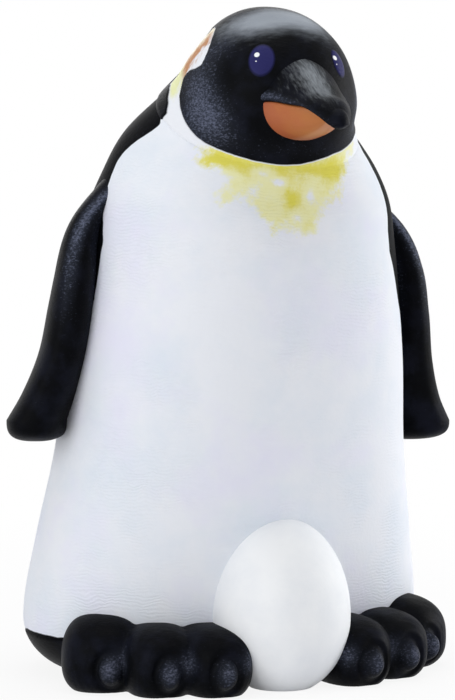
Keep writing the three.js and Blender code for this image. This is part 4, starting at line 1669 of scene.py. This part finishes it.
    def melted(self, place: Place) -> Skin:
        """Melts the foot's forms together and smooths them.

        Args:
            place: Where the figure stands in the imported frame.

        Returns:
            One closed surface.
        """
        points, faces = [], []
        for form in self.lobes():
            base = sum(len(part) for part in points)
            points.append(form.points)
            faces += (form.quads + base).tolist() + (form.triangles + base).tolist()
        mesh = bpy.data.meshes.new("foot_forms")
        mesh.from_pydata(place.metres(np.vstack(points)).tolist(), [], faces)
        block = bpy.data.objects.new("foot_forms", mesh)
        bpy.context.scene.collection.objects.link(block)
        melt = block.modifiers.new("melt", "REMESH")
        melt.mode = "VOXEL"
        melt.voxel_size = self.voxel * METRES_PER_MM
        soften = block.modifiers.new("soften", "SMOOTH")
        soften.iterations = self.smoothing
        evaluated = block.evaluated_get(bpy.context.evaluated_depsgraph_get())
        result = bpy.data.meshes.new_from_object(evaluated)
        bpy.data.objects.remove(block)
        flat = np.zeros(len(result.vertices) * 3)
        result.vertices.foreach_get("co", flat)
        corners = [tuple(face.vertices) for face in result.polygons]
        bpy.data.meshes.remove(result)
        quads = np.array([face for face in corners if len(face) == 4])
        triangles = np.array([face for face in corners if len(face) == 3], int).reshape(-1, 3)
        return Skin(place.figure(flat.reshape(-1, 3)), quads, triangles)

    def skin(self, place: Place) -> Skin:
        """The carved foot: its melted forms with claws and grooves, cut flat at the ground.

        Args:
            place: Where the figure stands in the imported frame.

        Returns:
            The foot's surface with its painted places.
        """
        skin = self.melted(place)
        ring = np.full(len(skin.points), np.inf)
        sponge = np.full(len(skin.points), self.base_load)
        forward = np.zeros_like(skin.points)
        for toe, x in self.toes():
            inside = self.in_toe(toe, x, skin.points)
            across = (inside[:, 0] - toe.claw_aside) / self.claw_half_width
            up = (inside[:, 2] + self.middle_height - self.claw_height) / self.claw_half_height
            oval = np.hypot(across, up)
            in_front = inside[:, 1] < -self.claw_front * toe.half_length
            claw = self.claw_proud * np.sqrt(np.clip(1 - oval**2, 0, 1))
            groove = self.claw_groove * bell(oval, self.groove_at, self.groove_width)
            ahead = self.placed(toe, x, np.array([0.0, -1.0, 0.0])) - self.placed(toe, x, np.zeros(3))
            forward += np.where(in_front, claw - groove, 0.0)[:, None] * ahead
            along = self.ring_along * (inside[:, 1] + toe.half_length)
            ring = np.minimum(ring, np.hypot(oval * self.claw_half_width, along))
            sponge += self.claw_highlight_load * in_front * bell(across, *self.claw_dab) * bell(up, *self.claw_dab)
            knuckle = np.array([toe.half_width, toe.half_length, 1.0]) * self.knuckle_at
            knuckle = self.placed(toe, x, knuckle)
            sponge += self.knuckle_highlight_load * spot(skin.points, knuckle, self.knuckle_spread)
        skin.points = skin.points + forward
        skin.points[:, 2] = np.maximum(skin.points[:, 2], 0.0)
        skin.paint["ring"] = ring
        skin.paint["sponge"] = sponge
        return skin


@dataclass
class Egg:
    """The egg: blunt end down, cut flat where it stands, half let into the belly."""

    trunk: Trunk
    proud: float = 1.7
    radius: float = 10.8
    widest_height: float = 11.0
    height: float = 26.2
    blunt_drop: float = 12.4
    stop: float = 0.995
    rows: int = 140
    columns: int = 220

    @property
    def middle(self) -> float:
        """How far forward the egg's own axis stands."""
        return self.trunk.belly_line - self.proud

    def skin(self) -> Skin:
        """The carved egg."""
        bottom = math.asin(self.widest_height / self.blunt_drop)
        turn = np.linspace(-bottom, math.pi / 2 * self.stop, self.rows)[:, None]
        radius = self.radius * np.cos(turn)
        rise = np.where(turn < 0, self.blunt_drop, self.height - self.widest_height)
        around = full_turn(self.columns)
        return skin_rings(
            grid_of(
                radius * np.cos(around),
                self.middle + radius * np.sin(around),
                self.widest_height + rise * np.sin(turn),
            )
        )


@dataclass
class Tail:
    """The tail: a short round-ended wedge at the foot of the spine."""

    trunk: Trunk
    sunk: float = 6.9
    length: float = 15.0
    root: tuple = (10.5, 8.0, 6.0)
    tip: tuple = (2.6, 5.4, 2.4)
    bluntness: float = 5.0
    stop: float = 0.985
    levels: int = 70
    columns: int = 120
    # Sponged from the spine line backwards, full after this many mm
    sponge_load: float = 0.25
    sponge_reach: float = 6.0

    def skin(self) -> Skin:
        """The carved tail."""
        share = np.sin(np.linspace(0, math.pi / 2 * self.stop, self.levels))[:, None]
        rounding = np.sqrt(1 - share**self.bluntness)
        height, half_width, half_thick = (
            start + (end - start) * share for start, end in zip(self.root, self.tip)
        )
        turns = full_turn(self.columns)
        skin = skin_rings(
            grid_of(
                half_width * rounding * np.cos(turns),
                self.trunk.spine_line - self.sunk + self.length * share,
                np.maximum(height + half_thick * rounding * np.sin(turns), 0.0),
            )
        )
        behind = skin.points[:, 1] - self.trunk.spine_line
        skin.paint["sponge"] = self.sponge_load * rising(behind, 0.0, self.sponge_reach)
        return skin


@dataclass
class Studio:
    """Pale floor, soft lamps and the camera at the photograph's angle."""

    place: Place
    camera_place: tuple = (-132.634, -313.063, 62.325)
    camera_turn: float = 23.0
    camera_dip: float = 1.844
    focal_pixels: float = 2073.95
    picture_height: int = 700
    sensor: float = 36.0
    clip: tuple = (0.01, 20.0)
    floor_half: float = 3.0
    floor_colour: str = "#f0f0f2"
    white: tuple = (1.0, 1.0, 1.0, 1.0)
    fill: float = 0.47
    # How much of the floor is plain white near the figure and away from it, and how far that is
    white_near: float = 0.88
    white_far: float = 1.0
    near: float = 0.06
    far: float = 0.25
    # Softboxes: name, place in metres, width and height, watts
    lamps: tuple = (
        ("left_softbox", (-0.44, -0.24, 0.1), (0.3, 0.45), 1.3),
        ("right_softbox", (0.5, -0.05, 0.08), (0.3, 0.5), 2.35),
        ("top_softbox", (-0.03, -0.02, 0.55), (0.3, 0.24), 0.8),
        ("back_softbox", (0.12, 0.5, 0.3), (0.4, 0.3), 0.6),
    )
    lamps_aim: tuple = (0.0, 0.0, 0.05)

    def camera(self) -> None:
        """Makes the camera."""
        data = bpy.data.cameras.new("camera")
        data.sensor_width = self.sensor
        data.lens = self.focal_pixels / self.picture_height * self.sensor
        data.clip_start, data.clip_end = self.clip
        camera = bpy.data.objects.new("camera", data)
        camera.location = self.place.metres(np.array(self.camera_place)).tolist()
        camera.rotation_euler = (math.radians(90 - self.camera_dip), 0.0, -math.radians(self.camera_turn))
        bpy.context.scene.collection.objects.link(camera)
        bpy.context.scene.camera = camera

    def lamp(self, name: str, place: tuple, size: tuple, watts: float) -> None:
        """Hangs a softbox that faces the figure.

        Args:
            name: The lamp's name.
            place: Where it hangs, in metres.
            size: Its width and height in metres.
            watts: Its power.
        """
        data = bpy.data.lights.new(name, "AREA")
        data.shape = "RECTANGLE"
        data.size, data.size_y = size
        data.energy = watts
        lamp = bpy.data.objects.new(name, data)
        lamp.location = place
        aim = Vector(self.lamps_aim) - Vector(place)
        lamp.rotation_euler = aim.to_track_quat("-Z", "Y").to_euler()
        bpy.context.scene.collection.objects.link(lamp)

    def seen_directly(self, tree: bpy.types.NodeTree) -> bpy.types.NodeSocket:
        """1 where the camera, a reflection or glass looks, and 0 for scattered light."""
        seen = add_node(tree, "ShaderNodeLightPath", output="Is Camera Ray")
        for ray in ("Is Glossy Ray", "Is Transmission Ray"):
            asked = add_node(tree, "ShaderNodeLightPath", output=ray)
            seen = add_node(tree, "ShaderNodeMath", {"operation": "MAXIMUM"}, {0: seen, 1: asked})
        return seen

    def world(self) -> None:
        """White where it is seen, and a plain fill light elsewhere."""
        world = bpy.data.worlds.new("white_surround")
        bpy.context.scene.world = world
        world.use_nodes = True
        tree = world.node_tree
        tree.nodes.clear()
        strength = add_node(tree, "ShaderNodeMix", {}, {0: self.seen_directly(tree), 2: self.fill, 3: 1.0})
        light = add_node(tree, "ShaderNodeBackground", {}, {"Color": self.white, "Strength": strength})
        add_node(tree, "ShaderNodeOutputWorld", {}, {"Surface": light})

    def floor(self) -> None:
        """A pale floor that keeps the figure's shadow."""
        half = self.floor_half
        mesh = bpy.data.meshes.new("floor")
        corners = [(-half, -half, 0), (half, -half, 0), (half, half, 0), (-half, half, 0)]
        mesh.from_pydata(corners, [], [(0, 1, 2, 3)])
        floor = bpy.data.objects.new("floor", mesh)
        bpy.context.scene.collection.objects.link(floor)
        material = bpy.data.materials.new("pale_floor")
        material.use_nodes = True
        tree = material.node_tree
        tree.nodes.clear()
        matt = add_node(tree, "ShaderNodeBsdfDiffuse", {}, {"Color": linear(self.floor_colour)})
        white = add_node(tree, "ShaderNodeEmission", {}, {"Color": self.white, "Strength": 1.0})
        place = add_node(tree, "ShaderNodeTexCoord", output="Object")
        away = add_node(tree, "ShaderNodeVectorMath", {"operation": "LENGTH"}, {0: place}, "Value")
        reach = {"Value": away, "From Min": self.near, "From Max": self.far}
        reach |= {"To Min": self.white_near, "To Max": self.white_far}
        plain = add_node(tree, "ShaderNodeMapRange", {"interpolation_type": Run.SMOOTH.value}, reach)
        seen = self.seen_directly(tree)
        share = add_node(tree, "ShaderNodeMath", {"operation": "MULTIPLY"}, {0: seen, 1: plain})
        mixed = add_node(tree, "ShaderNodeMixShader", {}, {0: share, 1: matt, 2: white})
        add_node(tree, "ShaderNodeOutputMaterial", {}, {"Surface": mixed})
        mesh.materials.append(material)

    def build(self) -> None:
        """Sets the whole studio up."""
        self.camera()
        self.world()
        self.floor()
        for lamp in self.lamps:
            self.lamp(*lamp)
        bpy.context.scene.view_settings.view_transform = "Standard"
        LOG.info("studio set up")


def main() -> None:
    """Builds the studio and every piece in order."""
    logging.basicConfig(level=logging.INFO, format="%(name)s: %(message)s")
    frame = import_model()
    trunk = Trunk()
    egg = Egg(trunk)
    low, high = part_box("egg")
    place = Place((low.y + high.y) / 2 / METRES_PER_MM - egg.middle)
    LOG.info("the figure stands %.3f mm back of its own origin", place.forward)
    Studio(place).build()

    throat = SpongedThroat()
    head_paint = HeadPaint(BlackAcrylic("black_acrylic_head"), throat).make()
    show_piece("trunk", trunk.skin(), place, TrunkPaint(throat).make())
    show_piece("head", Head(trunk).skin(), place, head_paint)
    bill = Bill(trunk)
    show_piece("upper_bill", bill.skin(BillHalf.UPPER), place, BillPaint().make())
    show_piece("lower_bill", bill.skin(BillHalf.LOWER), place, OrangeAcrylic().make())
    plain_black = BlackAcrylic("black_acrylic_flippers").start().finish()
    foot_paint = FootPaint().make()
    for side in Side:
        word = side.name.lower()
        show_piece(f"{word}_flipper", Flipper(trunk, side).skin(), place, plain_black)
        show_piece(f"{word}_foot", Foot(trunk, side).skin(place), place, foot_paint)
    show_piece("egg", egg.skin(), place, EggAcrylic().make())
    show_piece("tail", Tail(trunk).skin(), place, plain_black)

    beech = BareBeech().make()
    for name, node in frame["nodes"].items():
        if name.endswith("_dowel"):
            node.data.materials.clear()
            node.data.materials.append(beech)
            LOG.info("%s is bare beech", name)


if __name__ == "__main__":
    main()
